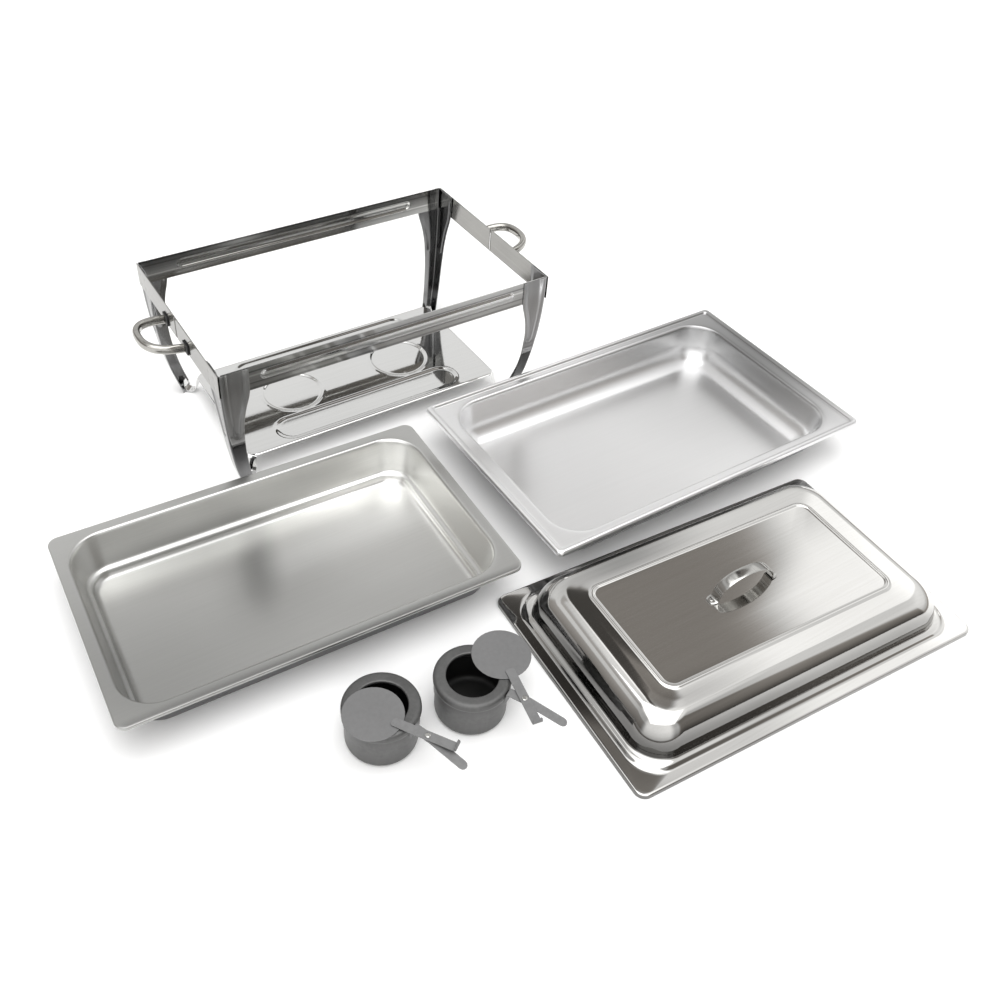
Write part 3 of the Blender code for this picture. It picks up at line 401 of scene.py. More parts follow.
FAR = 30.0
M = {
    # food pan: painted dark reflections and painted shade over the floor, the back wall, the left part and the front
    # rim, a painted bright patch on the right of the floor, and the steep-face factor brightens the walls as painted
    # light
    "food": steel("food_pan_steel", (0.555, 0.555, 0.542), (0.52, 0.52, 0.508), 0.31, 0.015, (10, 600, 600), 0.04, 3.0, -1.9,
                  wear=0.3, steep_shading=1.45, light_shade_spots=(
                      ((-0.318, 0.062, 0.0), (0.115, 0.040, 0.03), 72.3, 0.66),
                      ((-0.37, 0.128, 0.0), (0.25, 0.085, 0.045), -1.9, 0.60),
                      ((-0.085, 0.115, 0.0), (0.09, 0.06, 0.05), -1.9, 0.66),
                      ((-0.520, -0.100, 0.0), (0.34, 0.30, FAR), 0.0, 0.68),
                      ((-0.06, 0.08, 0.0), (0.30, 0.22, 0.028), 0.0, 1.66),
                      ((-0.195, 0.119, 0.048), (0.17, 0.04, 0.04), -1.9, 0.50),
                      ((-0.30, -0.160, 0.07), (0.60, 0.018, 0.02), -1.9, 0.30))),
    # painted shade: the food pan's outer skin gets a much darker copy of its steel
    "food_out_shaded": steel("food_pan_outside_shaded", (0.17, 0.17, 0.172), (0.13, 0.13, 0.132), 0.30, 0.04, (10, 500, 500), 0.06, 6.0, -1.9),
    # water pan: painted shade over the right-hand part of the pan, strongest at its right end wall
    "water": steel("water_pan_steel", (0.92, 0.92, 0.922), (0.885, 0.885, 0.888), 0.30, 0.012, (10, 600, 600), 0.012, 3.0, 0.2,
                   wear=0.3, light_shade_spots=(((0.53, 0.07, 0.075), (0.34, 0.36, 0.12), 0.0, 0.34),
                                    ((0.550, -0.04, 0.05), (0.05, 0.20, 0.05), 0.0, 0.66))),
    # painted shade: the water pan's outer skin gets a much darker copy of its steel
    "water_out_shaded": steel("water_pan_outside_shaded", (0.34, 0.34, 0.345), (0.26, 0.26, 0.265), 0.28, 0.05, (10, 500, 500), 0.06, 6.0, 0.2),
    # lid: painted dark reflections on the top and slopes, a painted bright patch on the right end slope, and the
    # steep-face factor darkens the slopes as painted shade
    "lid": steel("lid_steel", (0.70, 0.695, 0.68), (0.65, 0.64, 0.62), 0.070, 0.010, (8, 400, 400), 0.010, 3.0, -2.9,
                 dents=0.015, wear=0.3, steep_shading=0.42, light_shade_spots=(
                     ((-0.07, -0.44, 0.02), (0.13, 0.11, 0.065), 0.0, 0.50),
                     ((-0.07, -0.31, 0.015), (0.06, 0.17, 0.06), 0.0, 0.46),
                     ((0.05, -0.48, 0.02), (0.18, 0.07, 0.05), 0.0, 0.60),
                     ((0.08, -0.212, 0.055), (0.17, 0.042, 0.05), -2.9, 0.48),
                     ((0.02, -0.427, 0.055), (0.15, 0.042, 0.04), -2.9, 0.60),
                     ((0.42, -0.44, 0.03), (0.09, 0.18, 0.07), 0.0, 1.45))),
    "lid_handle": steel("lid_handle_steel", (0.46, 0.455, 0.44), (0.33, 0.327, 0.315), 0.14, 0.03, (900, 20, 900), 0.04, 30.0, -2.9, wear=0.5),
    # front rail: painted shade over the left part, painted light over the right part, and thin painted dark and
    # bright reflection lines along the rail
    "rail_front": steel("rail_front_steel", (0.47, 0.47, 0.465), (0.38, 0.38, 0.375), 0.09, 0.02, (1.6, 260, 260), 0.03, 7.0,
                        dents=0.02, wear=0.5, contrast=1.2, light_shade_spots=(
                            ((-0.30, 0.185, 0.2), (0.24, 0.1, 0.2), 0.0, 0.50), ((0.16, 0.185, 0.2), (0.26, 0.1, 0.2), 0.0, 1.5),
                            ((0.0, 0.185, 0.2207), (9.0, 1.0, 0.0022), 0.0, 0.42), ((0.0, 0.185, 0.2020), (9.0, 1.0, 0.0020), 0.0, 0.50),
                            ((0.0, 0.185, 0.2140), (9.0, 1.0, 0.0026), 0.0, 1.7), ((0.0, 0.185, 0.1935), (9.0, 1.0, 0.0030), 0.0, 0.62))),
    # rear rail: a darker copy of the front rail's steel as painted shade, a painted bright patch on the right, and
    # thin painted dark and bright reflection lines along the rail
    "rail_rear": steel("rail_rear_shaded_steel", (0.31, 0.31, 0.30), (0.20, 0.20, 0.194), 0.09, 0.02, (1.6, 260, 260), 0.03, 7.0,
                       dents=0.02, wear=0.4, contrast=1.3, light_shade_spots=(
                           ((0.20, 0.50, 0.2), (0.20, 0.1, 0.2), 0.0, 1.8),
                           ((0.0, 0.505, 0.2205), (9.0, 1.0, 0.0022), 0.0, 0.55), ((0.0, 0.505, 0.2030), (9.0, 1.0, 0.0024), 0.0, 1.9),
                           ((0.0, 0.505, 0.2280), (9.0, 1.0, 0.0026), 0.0, 0.45))),
    # end rails: painted shade over the left end rails, and thin darker lines along the middle seams
    "end_rail": steel("end_rail_steel", (0.36, 0.355, 0.34), (0.29, 0.285, 0.273), 0.15, 0.03, (300, 5, 230), 0.03, 9.0, dents=0.03, wear=0.4,
                      light_shade_spots=(((-0.305, 0.345, 0.21), (0.1, 0.3, 0.2), 0.0, 0.70), ((0.22, 0.3455, 0.21), (0.1, 0.0028, 0.3), 0.0, 0.12),
                             ((-0.305, 0.3455, 0.21), (0.1, 0.0028, 0.3), 0.0, 0.25))),
    # legs: the endways factor darkens the wings facing along X as painted shade; spots add painted shade on the rear
    # right leg and painted light on the front right leg
    "leg": steel("leg_steel", (0.33, 0.33, 0.33), (0.20, 0.20, 0.202), 0.11, 0.02, (45, 45, 4), 0.03, 7.0, dents=0.04, wear=0.5, contrast=1.2,
                 endways_shade=0.55, light_shade_spots=(((0.22, 0.50, 0.12), (0.14, 0.14, 0.2), 0.0, 0.80), ((0.22, 0.19, 0.17), (0.1, 0.1, 0.12), 0.0, 2.1))),
    "shelf": steel("shelf_steel", (0.75, 0.75, 0.742), (0.70, 0.70, 0.692), 0.050, 0.015, (9, 400, 400), 0.02, 7.0, dents=0.02, wear=0.4),
    "bar": steel("handle_bar_steel", (0.47, 0.46, 0.435), (0.34, 0.333, 0.315), 0.13, 0.04, (300, 300, 300), 0.03, 26.0, wear=0.4),
    # the clips are real parts; their near-black colour is painted shade and painted dark reflection at the
    # carry-handle roots
    "clip": steel("handle_clip_shade_steel", (0.07, 0.07, 0.07), (0.03, 0.03, 0.03), 0.42, 0.08, (200, 200, 200), 0.10, 60.0, metallic=0.6),
    "rivet": steel("rivet_steel", (0.62, 0.62, 0.60), (0.50, 0.50, 0.48), 0.28, 0.06, (300, 300, 300), 0.05, 80.0, wear=0.4),
    "burner": steel("burner_steel", (0.112, 0.112, 0.111), (0.084, 0.084, 0.083), 0.42, 0.05, (240, 240, 30), 0.06, 16.0, metallic=0.6, wear=0.4),
    "cover": steel("cover_steel", (0.175, 0.175, 0.176), (0.150, 0.150, 0.151), 0.55, 0.04, (260, 260, 260), 0.06, 14.0, metallic=0.45, wear=0.4),
    # near-black on the fuel cup's inside faces and the collar's underside
    "dark_inside": steel("burner_inside", (0.012, 0.012, 0.011), (0.006, 0.006, 0.006), 0.55, 0.08, (200, 200, 200), 0.10, 60.0, metallic=0.2, crevice_shade=0.0),
}


# ---------------------------------------------------------------- mesh tools
def finish_mesh(name, bm, mats, matrix, body, replaces, angle=35.0, bevel=None, crease=True):
    bmesh.ops.recalc_face_normals(bm, faces=bm.faces[:])
    me = bpy.data.meshes.new(name)
    bm.to_mesh(me)
    bm.free()
    me.transform(matrix)
    me.shade_smooth()
    if angle:
        me.set_sharp_from_angle(angle=math.radians(angle))
    for mt in mats if isinstance(mats, (list, tuple)) else [mats]:
        me.materials.append(mt)
    ob = bpy.data.objects.new(name, me)
    sc.collection.objects.link(ob)
    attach(ob, body)
    if replaces:
        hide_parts(*([replaces] if isinstance(replaces, str) else replaces))
    return ob


def round_rect(hx, hy, r, z, n):
    pts = []
    for cx, cy, a0 in (
        (hx - r, hy - r, 0), (-(hx - r), hy - r, 90),
        (-(hx - r), -(hy - r), 180), (hx - r, -(hy - r), 270),
    ):
        for k in range(n + 1):
            a = math.radians(a0 + 90.0 * k / n)
            pts.append(Vector((cx + r * math.cos(a), cy + r * math.sin(a), z)))
    return pts


def eased(rows, most=4.0, steps=4):
    """A profile with each corner turned into a small curve."""
    rows = [tuple(r) for r in rows]
    out = [rows[0]]
    for i in range(1, len(rows) - 1):
        a, b, c = rows[i - 1], rows[i], rows[i + 1]

        def gap(p, q):
            return math.hypot(p[0] - q[0], p[-1] - q[-1])

        da, dc = gap(a, b), gap(b, c)
        if da < 1e-6 or dc < 1e-6:
            out.append(b)
            continue
        ka = min(0.5, most / da)
        kc = min(0.5, most / dc)
        p = tuple(y + (x - y) * ka for x, y in zip(a, b))
        q = tuple(y + (x - y) * kc for x, y in zip(c, b))
        for s in range(steps + 1):
            t = s / steps
            out.append(tuple((1 - t) ** 2 * u + 2 * t * (1 - t) * v + t * t * w for u, v, w in zip(p, b, q)))
    out.append(rows[-1])
    clean = [out[0]]
    for r in out[1:]:
        if math.hypot(r[0] - clean[-1][0], r[-1] - clean[-1][-1]) > 0.02:
            clean.append(r)
    return clean


def offset_profile(prof, t):
    out = []
    last = len(prof) - 1
    for i, row in enumerate(prof):
        h, z = row[0], row[-1]
        ns = []
        for j in (i - 1, i):
            if 0 <= j < last:
                dh, dz = prof[j + 1][0] - prof[j][0], prof[j + 1][-1] - prof[j][-1]
                ln = math.hypot(dh, dz) or 1.0
                ns.append((dz / ln, -dh / ln))
        nh = sum(v[0] for v in ns) / len(ns)
        nz = sum(v[1] for v in ns) / len(ns)
        ln2 = max(nh * nh + nz * nz, 0.3)
        out.append((nh / ln2 * t, nz / ln2 * t))
    return out


def skin(bm, rings, loop=False, caps=True, mats=None):
    made = [[bm.verts.new(p) for p in ring] for ring in rings]
    n = len(made[0])
    pairs = list(zip(made, made[1:]))
    if loop:
        pairs.append((made[-1], made[0]))
    for k, (a, b) in enumerate(pairs):
        for i in range(n):
            j = (i + 1) % n
            f = bm.faces.new((a[i], a[j], b[j], b[i]))
            if mats:
                f.material_index = mats[k]
    if not loop and caps:
        f = bm.faces.new(made[0][::-1])
        if mats:
            f.material_index = mats[0]
        f = bm.faces.new(made[-1])
        if mats:
            f.material_index = mats[-1]
    return made


def tray(name, rows, t, mat, at, body, n=20, most=4.0, outside=None):
    prof = eased(rows, most)
    off = offset_profile(prof, t)
    top = [round_rect(hx, hy, r, z, n) for hx, hy, r, z in prof]
    low = [round_rect(hx + dh, hy + dh, max(r + dh, 0.8), z + dz, n)
           for (hx, hy, r, z), (dh, dz) in zip(prof, off)]
    bm = bmesh.new()
    # the outer skin gets the outside material, a darker copy of the pan's steel: painted shade
    skin(bm, top + low[::-1], mats=[0] * len(top) + [1] * len(low) if outside else None)
    return finish_mesh(name, bm, [mat, outside] if outside else mat, place_matrix(at), body, name, 32.0)


# ------------------------------------------------------------- the food pan
def inset(hx, hy, r, rows):
    return [(hx - d, hy - d, max(r - d, 4.0), z) for d, z in rows]


FOOD_H, T = 65.0, 1.0
food_rows = inset(250.0, 147.0, 50.0, [
    (60.0, T), (29.0, T), (25.6, T + 0.7), (22.8, T + 2.6), (20.9, T + 5.4),
    (20.2, T + 8.6), (18.8, T + 10.6), (14.6, T + 12.0), (13.0, T + 13.4),
    (12.3, T + 15.6), (3.2, FOOD_H - 5.0), (2.2, FOOD_H - 2.4), (0.4, FOOD_H - 0.6), (-2.2, FOOD_H),
]) + [
    (263.0, 160.5, 12.5, FOOD_H), (264.5, 162.0, 13.6, FOOD_H - 0.6),
    (265.0, 162.5, 14.0, FOOD_H - 2.0), (265.0, 162.5, 14.0, FOOD_H - 4.0),
]
tray("food_pan", food_rows, T, M["food"], FOOD_AT, "food_pan_body", outside=M["food_out_shaded"])

# ------------------------------------------------------------ the water pan
WH, LIP = 65.5, 3.8
RX, RY = 283.5, 174.0
TOP = WH + LIP
sweep = [(38.0 - 32.0 * math.sin(math.radians(a)), T + 33.0 * (1 - math.cos(math.radians(a))))
         for a in range(0, 91, 6)]
water_rows = inset(256.0, 155.0, 50.0, [(60.0, T)] + sweep + [
    (2.8, WH - 6.0), (2.0, WH - 3.0), (0.3, WH - 0.8), (-2.6, WH),
]) + [
    (RX - 10.6, RY - 8.6, 5.0, WH), (RX - 9.4, RY - 7.4, 5.4, WH + 0.9),
    (RX - 8.6, RY - 6.6, 5.8, TOP - 1.2), (RX - 6.8, RY - 5.2, 6.2, TOP),
    (RX - 2.6, RY - 2.6, 6.8, TOP), (RX - 0.6, RY - 0.6, 7.4, TOP - 1.2),
    (RX, RY, 7.8, TOP - 3.2), (RX, RY, 7.8, WH - 4.0),
]
tray("water_pan", water_rows, T, M["water"], WATER_AT, "water_pan_body", outside=M["water_out_shaded"])

# ------------------------------------------------------------------ the lid
BX, BY, LT = 183.0, 86.0, 58.2
LX, LY = 270.6, 165.0
lid_rows = [
    (130.0, 40.0, 14.0, LT), (BX - 3.0, BY - 3.0, 14.0, LT), (BX - 1.3, BY - 1.3, 15.6, LT + 1.1),
    (BX + 1.3, BY + 1.3, 18.0, LT + 1.1), (BX + 3.2, BY + 3.2, 19.8, LT - 0.2), (200.0, 103.0, 29.0, LT - 0.8),
]
for k in range(23):
    a = math.radians(4.0 + 86.0 * k / 22.0)
    u, v = math.sin(a) ** 0.95, max(math.cos(a), 0.0) ** 0.95
    lid_rows.append((207.5 + 36.1 * u, 110.0 + 30.2 * u, 34.0 + 9.0 * u, 11.4 + (LT - 12.8) * v))
lid_rows += [
    (246.2, 142.6, 43.0, 10.2), (250.4, 146.2, 42.0, 9.6), (252.4, 148.0, 41.0, 7.8), (254.4, 149.8, 40.0, 6.2),
    (LX - 1.6, LY - 1.6, 12.4, 6.0), (LX - 0.4, LY - 0.4, 13.6, 5.2), (LX, LY, 14.0, 3.6), (LX, LY, 14.0, 0.0),
]
tray("lid_shell", lid_rows, T, M["lid"], LID_AT, "lid_body", n=24, most=2.2)


def lid_handle():
    w = 7.5
    z0 = LT + 0.3
    t = 1.6
    half, rise = 45.0, 33.0
    line = [(-(half + 10.0), z0), (-(half + 7.4), z0), (-(half + 3.0), z0)]
    n = 60
    for k in range(n + 1):
        s = math.pi * (1.0 - k / n)
        c, d = math.cos(s), math.sin(s)
        line.append(((half - 1.0) * math.copysign(abs(c) ** 0.84, c), z0 + (rise - t) * abs(d) ** 0.88))
    line += [(half + 3.0, z0), (half + 7.4, z0), (half + 10.0, z0)]
    sm = line[:]
    for _ in range(2):
        sm = [sm[0]] + [tuple((a + 2 * b + c) / 4 for a, b, c in zip(sm[i - 1], sm[i], sm[i + 1])) for i in range(1, len(sm) - 1)] + [sm[-1]]
    line = sm
    last = len(line) - 1
    rings = []
    sect = []
    m = 10
    for k in range(m + 1):
        v = -1.0 + 2.0 * k / m
        sect.append((v, t * (0.62 + 0.38 * (1 - v * v) ** 0.5)))
    for i, (x, z) in enumerate(line):
        a, b = line[max(i - 1, 0)], line[min(i + 1, last)]
        d = (b[0] - a[0], b[1] - a[1])
        ln = math.hypot(*d)
        nx, nz = -d[1] / ln, d[0] / ln
        end = min(i, last - i)
        ww = w - (2.6 if end == 0 else 0.6 if end == 1 else 0.0)
        ring = [Vector((x + nx * h, v * ww, z + nz * h)) for v, h in sect]
        ring += [Vector((x, ww * q, z)) for q in (0.96, 0.4, -0.4, -0.96)]
        rings.append(ring)
    bm = bmesh.new()
    skin(bm, rings)
    # the raised heads of the two spot welds
    for sx in (-1, 1):
        cx = sx * (half + 5.6)
        tops = [[Vector((cx + r * math.cos(2 * math.pi * k / 20), r * math.sin(2 * math.pi * k / 20), z0 + t * 0.9 + h)) for k in range(20)]
                for r, h in ((2.6, -0.3), (2.5, 0.15), (1.9, 0.42), (0.9, 0.55))]
        skin(bm, tops)
    return finish_mesh("lid_handle", bm, M["lid_handle"], place_matrix(LID_AT), "lid_body", "lid_handle", 40.0)


lid_handle()


# ---------------------------------------------------------------- the stand
def stad(u, v, cx, cy, hx, hy):
    """Distance outside a long rounded panel; negative inside."""
    q = max(abs(u - cx) - (hx - hy), 0.0)
    return math.hypot(q, v - cy) - hy


def step(d, half):
    """1 well inside, 0 well outside, smooth over 2 * half at the edge."""
    s = min(max((half - d) / (2 * half), 0.0), 1.0)
    return s * s * (3 - 2 * s)


def axis_points(lo, hi, gap, dense=(), fine=None):
    """Grid positions along one axis, closer together where they are needed."""
    pts = {lo, hi}
    x = lo
    while x < hi - 1e-6:
        near = any(a <= x <= b for a, b in dense)
        x += (fine or gap) if near else gap
        pts.add(min(x, hi))
    pts = sorted(pts)
    keep = [pts[0]]
    for p in pts[1:]:
        if p - keep[-1] > 0.05:
            keep.append(p)
    keep[-1] = hi
    return keep


def sheet_grid(us, vs, height, t, place):
    """A thin plate over a grid, raised by height(u, v), closed round its edge."""
    bm = bmesh.new()
    up_, lo_ = [], []
    for u in us:
        up_.append([bm.verts.new(place(u, v, height(u, v))) for v in vs])
        lo_.append([bm.verts.new(place(u, v, height(u, v) - t)) for v in vs])
    nu, nv = len(us), len(vs)
    for i in range(nu - 1):
        for j in range(nv - 1):
            bm.faces.new((up_[i][j], up_[i + 1][j], up_[i + 1][j + 1], up_[i][j + 1]))
            bm.faces.new((lo_[i][j], lo_[i][j + 1], lo_[i + 1][j + 1], lo_[i + 1][j]))
    for i in range(nu - 1):
        bm.faces.new((up_[i][0], lo_[i][0], lo_[i + 1][0], up_[i + 1][0]))
        bm.faces.new((up_[i][-1], up_[i + 1][-1], lo_[i + 1][-1], lo_[i][-1]))
    for j in range(nv - 1):
        bm.faces.new((up_[0][j], up_[0][j + 1], lo_[0][j + 1], lo_[0][j]))
        bm.faces.new((up_[-1][j], lo_[-1][j], lo_[-1][j + 1], up_[-1][j + 1]))
    return bm


RHX, RHY, RT, RH, SH, GAP = 264.0, 160.0, 229.0, 38.0, 1.2, 0.3


def rail(name, sy):
    hx = RHX - SH - GAP - SH - 2.4
    hy = RH / 2
    base = RHY - SH - GAP
    zc = RT - hy
    us = axis_points(-hx, hx, 9.0, ((-208, -192), (190, 208)), 1.0)
    vs = axis_points(-hy, hy, 1.6, ((-11, 12),), 0.8)

    def h(u, v):
        d = stad(u, v, 0, 1.0, 204.0, 8.0)
        ridge = step(d + 1.7, 1.7)
        return 2.7 * ridge + 0.35 * step(d + 5.5, 2.0)

    def place(u, v, k):
        return Vector((u, sy * (base + k), zc + v))

    bm = sheet_grid(us, vs, h, SH, place)
    return finish_mesh(name, bm, M[name], STAND_M, "stand", name, 40.0)


rail("rail_front", -1)
rail("rail_rear", 1)


def end_rail(name, sx, sy):
    """A flat strip with a folded edge at the middle seam and a spot-welded end."""
    y0, y1 = 1.1, RHY - 0.4
    us = axis_points(y0, y1, 8.0, ((y0, y0 + 5), (118, y1)), 1.2)
    vs = axis_points(-RH / 2, RH / 2, 2.0, ((-19, -16), (16, 19)), 0.6)

    def h(u, v):
        k = 0.0
        for (a, b) in ((144.0, 8.0), (144.0, -8.0), (126.0, 8.0), (126.0, -8.0)):
            d = math.hypot(u - a, v - b)
            k -= 0.35 * max(0.0, 1.0 - (d / 3.4) ** 2)
        k -= 0.5 * max(0.0, 1.0 - (RH / 2 - abs(v)) / 1.2) ** 2
        k -= 0.6 * max(0.0, 1.0 - (u - y0) / 2.0) ** 2
        return k

    def place(u, v, k):
        return Vector((sx * (RHX + k), sy * u, RT - RH / 2 + v))

    bm = sheet_grid(us, vs, h, SH - 0.65, place)
    return finish_mesh(name, bm, M["end_rail"], STAND_M, "stand", name, 40.0)


for side, sx in (("left", -1), ("right", 1)):
    for end, sy in (("front", -1), ("rear", 1)):
        end_rail("end_rail_%s_%s" % (side, end), sx, sy)


def table(rows, z):
    for (z0, v0), (z1, v1) in zip(rows, rows[1:]):
        if z <= z1:
            return v0 + (v1 - v0) * (z - z0) / (z1 - z0)
    return rows[-1][1]


def smooth_table(rows, z, w=9.0):
    return sum(table(rows, min(max(z + w * k / 3.0, rows[0][0]), rows[-1][0])) for k in range(-3, 4)) / 7.0


INSET = ((0.0, 28.0), (20.0, 22.0), (46.0, 15.0), (70.0, 10.8), (93.0, 7.5),
         (130.0, 3.4), (158.0, 1.4), (180.0, 0.4), (195.0, 0.0), (RT, 0.0))
WING = ((0.0, 18.0), (20.0, 18.0), (55.0, 19.5), (94.0, 21.5), (133.0, 25.5),
        (162.0, 32.0), (180.0, 38.5), (191.0, 41.5), (RT, 42.0))


def leg(name, sx, sy):
    """Angle of pressed sheet: two wings, each with a long round-ended dent."""
    bend = 3.2
    nb = 8
    nw = 16
    zs = axis_points(1.3, RT - 0.6, 3.0, ((1.3, 12), (92, 118)), 1.5)
    t = SH

    def dent(across, w, z):
        """Depth of the pressed panel at a distance across the wing."""
        lo, hi = 9.5, w - 5.0
        if hi - lo < 4.0:
            return 0.0
        mid, half = (lo + hi) / 2, (hi - lo) / 2
        bottom = 112.0
        dz = max(bottom + half - z, 0.0)
        d = math.hypot(max(dz, 0.0), across - mid) - half if dz > 0 else abs(across - mid) - half
        return 1.1 * step(d + 0.6, 1.9)

    rings = []
    for z in zs:
        a = smooth_table(INSET, z)
        w = smooth_table(WING, z)
        cx, cy = RHX - SH - GAP - a, RHY - a
        foot = max(0.0, 1.0 - (z - 1.3) / 9.0)
        w -= 3.0 * foot * foot
        outer, inner = [], []
        for i in range(nw):
            s = w - (w - bend) * i / nw
            k = dent(s, w, z)
            outer.append((cx - s, cy - k))
            inner.append((cx - s, cy - t - k))
        for i in range(nb + 1):
            ang = math.radians(90.0 - 90.0 * i / nb)
            outer.append((cx - bend + bend * math.cos(ang), cy - bend + bend * math.sin(ang)))
            inner.append((cx - bend + (bend - t) * math.cos(ang), cy - bend + (bend - t) * math.sin(ang)))
        for i in range(1, nw + 1):
            s = bend + (w - bend) * i / nw
            k = dent(s, w, z) * 0.8
            outer.append((cx - k, cy - s))
            inner.append((cx - t - k, cy - s))
        rings.append([Vector((sx * x, sy * y, z)) for x, y in outer + inner[::-1]])
    # close the foot with a rounded pad
    z0 = rings[0]
    n = len(z0) // 2
    a = smooth_table(INSET, 1.3)
    cx, cy = RHX - SH - GAP - a, RHY - a
    w = smooth_table(WING, 1.3) - 3.0
    pads = []
    for zz, shrink in ((1.25, 0.0), (0.5, 0.25), (0.0, 1.1)):
        pad = []
        for p in z0[:n]:
            x, y = abs(p.x), abs(p.y)
            pad.append((x - shrink * 0.7, y - shrink * 0.7))
        rr = w - t - shrink
        arc = []
        for i in range(n):
            th = math.radians(90.0 * (i / (n - 1)) * 0.94 + 2.7)
            arc.append((cx - t - rr * math.cos(th), cy - t - rr * math.sin(th)))
        # from the Y wing's end back to the X wing's end
        arc = [(cx - t - rr * math.sin(math.radians(90.0 * (i / (n - 1)) * 0.94 + 2.7)),
                cy - t - rr * math.cos(math.radians(90.0 * (i / (n - 1)) * 0.94 + 2.7))) for i in range(n)]
        pads.append([Vector((sx * x, sy * y, zz)) for x, y in pad + arc])
    rings = pads[::-1] + rings
    bm = bmesh.new()
    skin(bm, rings)
    return finish_mesh(name, bm, M["leg"], STAND_M, "stand", name, 42.0)


leg("leg_front_left", -1, -1)
leg("leg_front_right", 1, -1)
leg("leg_rear_left", -1, 1)
leg("leg_rear_right", 1, 1)


def shelf():
    hx, hy, top = 214.0, 112.0, 33.0
    us = axis_points(-hx, hx, 2.6, ((-hx, -206), (206, hx), (-146, -45), (45, 146)), 1.7)
    vs = axis_points(-hy, hy, 2.4, ((-hy, -98), (98, hy), (-60, -48), (48, 60), (-50, 50)), 1.6)

    def h(u, v):
        k = 0.0
        for cx in (-95.5, 95.5):
            d = math.hypot(u - cx, v) - 45.4
            k -= 1.6 * step(d, 1.7)
            k += 0.35 * max(0.0, 1.0 - abs(d - 3.0) / 3.0) ** 2
        for cy in (-79.0, 79.0):
            d = stad(u, v, 0, cy, 156.0, 24.0)
            k -= 1.3 * step(d, 3.2)
        edge = min(hx - abs(u), hy - abs(v))
        k -= 0.8 * max(0.0, 1.0 - edge / 2.4) ** 2
        return k

    def place(u, v, k):
        # the corners are cut off at a slant
        c = 9.0
        over = (abs(u) - (hx - c)) + (abs(v) - (hy - c)) - c
        if over > 0:
            u -= math.copysign(over / 2, u)
            v -= math.copysign(over / 2, v)
        return Vector((u, v, top + k))

    bm = sheet_grid(us, vs, h, SH, place)
    return finish_mesh("fuel_shelf", bm, M["shelf"], STAND_M, "stand", "fuel_shelf", 42.0)


shelf()


def carry_handle(name, sx):
    x0 = RHX + 2.9
    n = 72
    path = []
    for k in range(n + 1):
        a = math.pi * k / n
        c, f = math.cos(a), abs(math.sin(a)) ** 0.62
        path.append(Vector((sx * (x0 + (317.0 - x0) * f),
                            (40.0 - 2.0 * f) * math.copysign(abs(c) ** 0.80, c),
                            201.0 + 8.0 * f)))
    for _ in range(3):
        path = [path[0]] + [(path[i - 1] + 2 * path[i] + path[i + 1]) / 4 for i in range(1, n)] + [path[-1]]
    last = len(path) - 1
    ns = 20
    rings = []
    for i, p in enumerate(path):
        if i in (0, last):
            d = Vector((sx if i == 0 else -sx, 0.0, 0.0))
        else:
            d = (path[i + 1] - path[i - 1]).normalized()
        side = d.cross(Vector((0.0, 0.0, 1.0))).normalized()
        upv = side.cross(d)
        flat = max(0.0, 1.0 - min(i, last - i) / 6.0)
        th = 5.4 * (1 - 0.35 * flat)
        tl = 6.7 * (1 + 0.06 * flat)
        ring = []
        for k in range(ns):
            a = 2 * math.pi * k / ns
            ca, sa = math.cos(a), math.sin(a)
            e = 0.82
            ring.append(p + side * (th * math.copysign(abs(ca) ** e, ca)) + upv * (tl * math.copysign(abs(sa) ** e, sa)))
        rings.append(ring)
    bm = bmesh.new()
    skin(bm, rings)
    return finish_mesh(name, bm, M["bar"], STAND_M, "stand", name, 45.0)


carry_handle("carry_handle_left", -1)
carry_handle("carry_handle_right", 1)


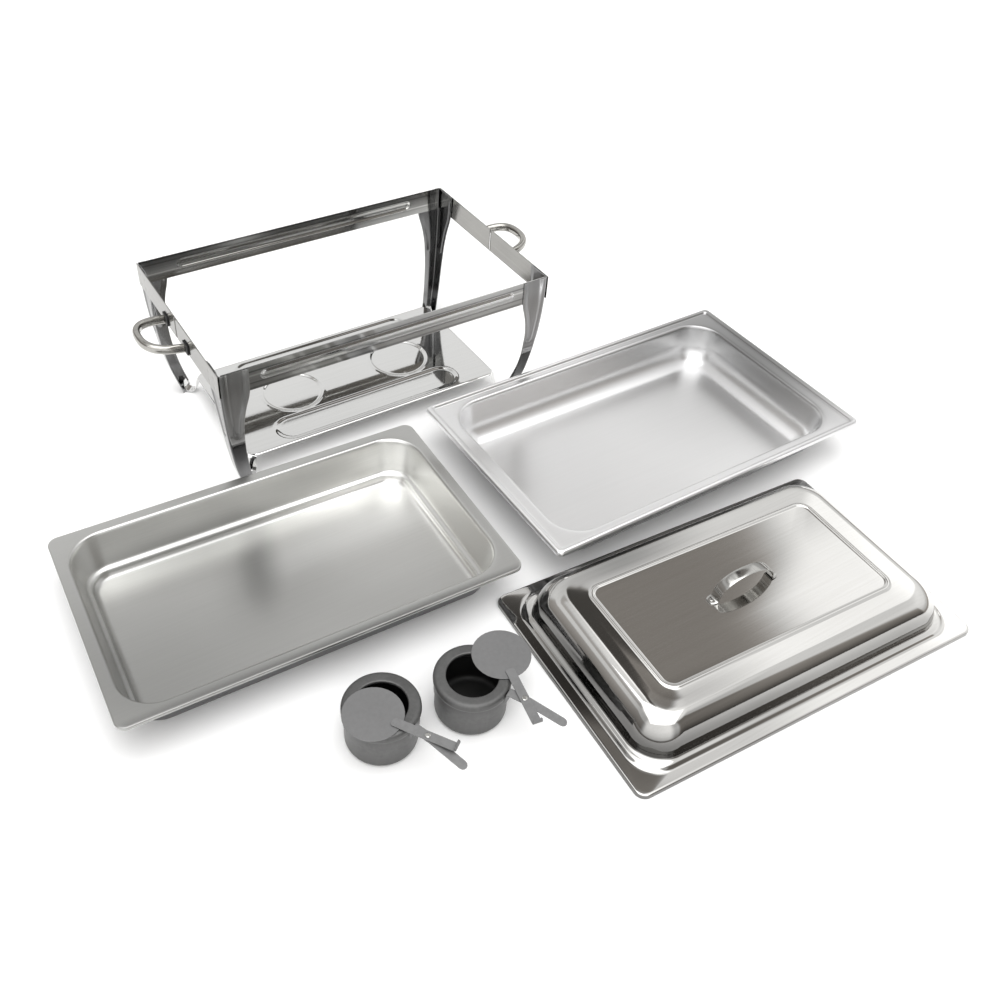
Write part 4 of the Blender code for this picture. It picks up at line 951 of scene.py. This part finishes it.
# --------------------------------------------------------- the fuel holders
def turned(name, rows, t, mats, at, body, replaces, n=96, ring=False, most=1.6, inner_slot=0, inside=None):
    prof = eased(rows, most, 4)
    off = offset_profile(prof, t)

    def circ(r, z):
        return [Vector((r * math.cos(2 * math.pi * k / n), r * math.sin(2 * math.pi * k / n), z)) for k in range(n)]

    top = [circ(r, z) for r, z in prof]
    low = [circ(r + dr, z + dz) for (r, z), (dr, dz) in zip(prof, off)]
    if inside == "top":
        idx = [1] * (len(top) - 1) + [0] * len(low) + [0]
    elif inside == "low":
        idx = [0] * len(top) + [1] * (len(low) - 1) + [1]
    else:
        idx = None
    bm = bmesh.new()
    skin(bm, top + low[::-1], loop=ring, mats=idx)
    return finish_mesh(name, bm, mats, place_matrix(at), body, replaces, 38.0)


CUP_R, CUP_H, CS = 43.6, 41.0, 0.9
CR, CT, CL, MR = 46.6, 62.0, 36.5, 31.0
for side, (at, arm, swing) in BURNER.items():
    here = (at[0], at[1], 0.0)
    turned("fuel_cup_" + side,
           [(14.0, CS), (CUP_R - CS - 6.0, CS), (CUP_R - CS - 2.6, CS + 1.2), (CUP_R - CS - 0.6, CS + 3.4),
            (CUP_R - CS, CS + 6.4), (CUP_R - CS, CUP_H)],
           CS, [M["burner"], M["dark_inside"]], here, "fuel_cup_%s_body" % side, "fuel_cup_" + side, inside="top")
    turned("burner_collar_" + side,
           [(MR, CT - 2.4), (MR + 0.3, CT - 0.7), (MR + 1.4, CT), (CR - 5.0, CT), (CR - 1.8, CT - 1.1),
            (CR - 0.3, CT - 3.4), (CR, CT - 6.4), (CR - 0.5, CT - 8.6), (CR - 1.4, CT - 10.4),
            (CR - 1.7, CT - 13.0), (CR - 1.7, CL)],
           0.8, [M["burner"], M["dark_inside"]], here, "burner_collar_%s_body" % side, "burner_collar_" + side,
           ring=True, inside="low")

# ------------------------------------------- pieces that keep their CAD shape
# the handle clips take the near-black clip material: painted shade and painted dark reflection at the carry-handle
# roots
dress = {"shelf_strap": ("shelf", 0.25), "handle_clip": ("clip", 0.5), "cover_disc": ("cover", 0.0),
         "cover_lever": ("cover", 0.3), "holder_strip": ("cover", 0.3), "cover_rivet": ("rivet", 0.0)}
for name, ob in nodes.items():
    for k, (mname, bev) in dress.items():
        if name.startswith(k):
            ob.data.materials.clear()
            ob.data.materials.append(M[mname])
            if bev:
                b = ob.modifiers.new("edge", "BEVEL")
                b.width = bev * MM
                b.segments = 3
                b.limit_method = "ANGLE"
                b.angle_limit = math.radians(35)
                b.harden_normals = False
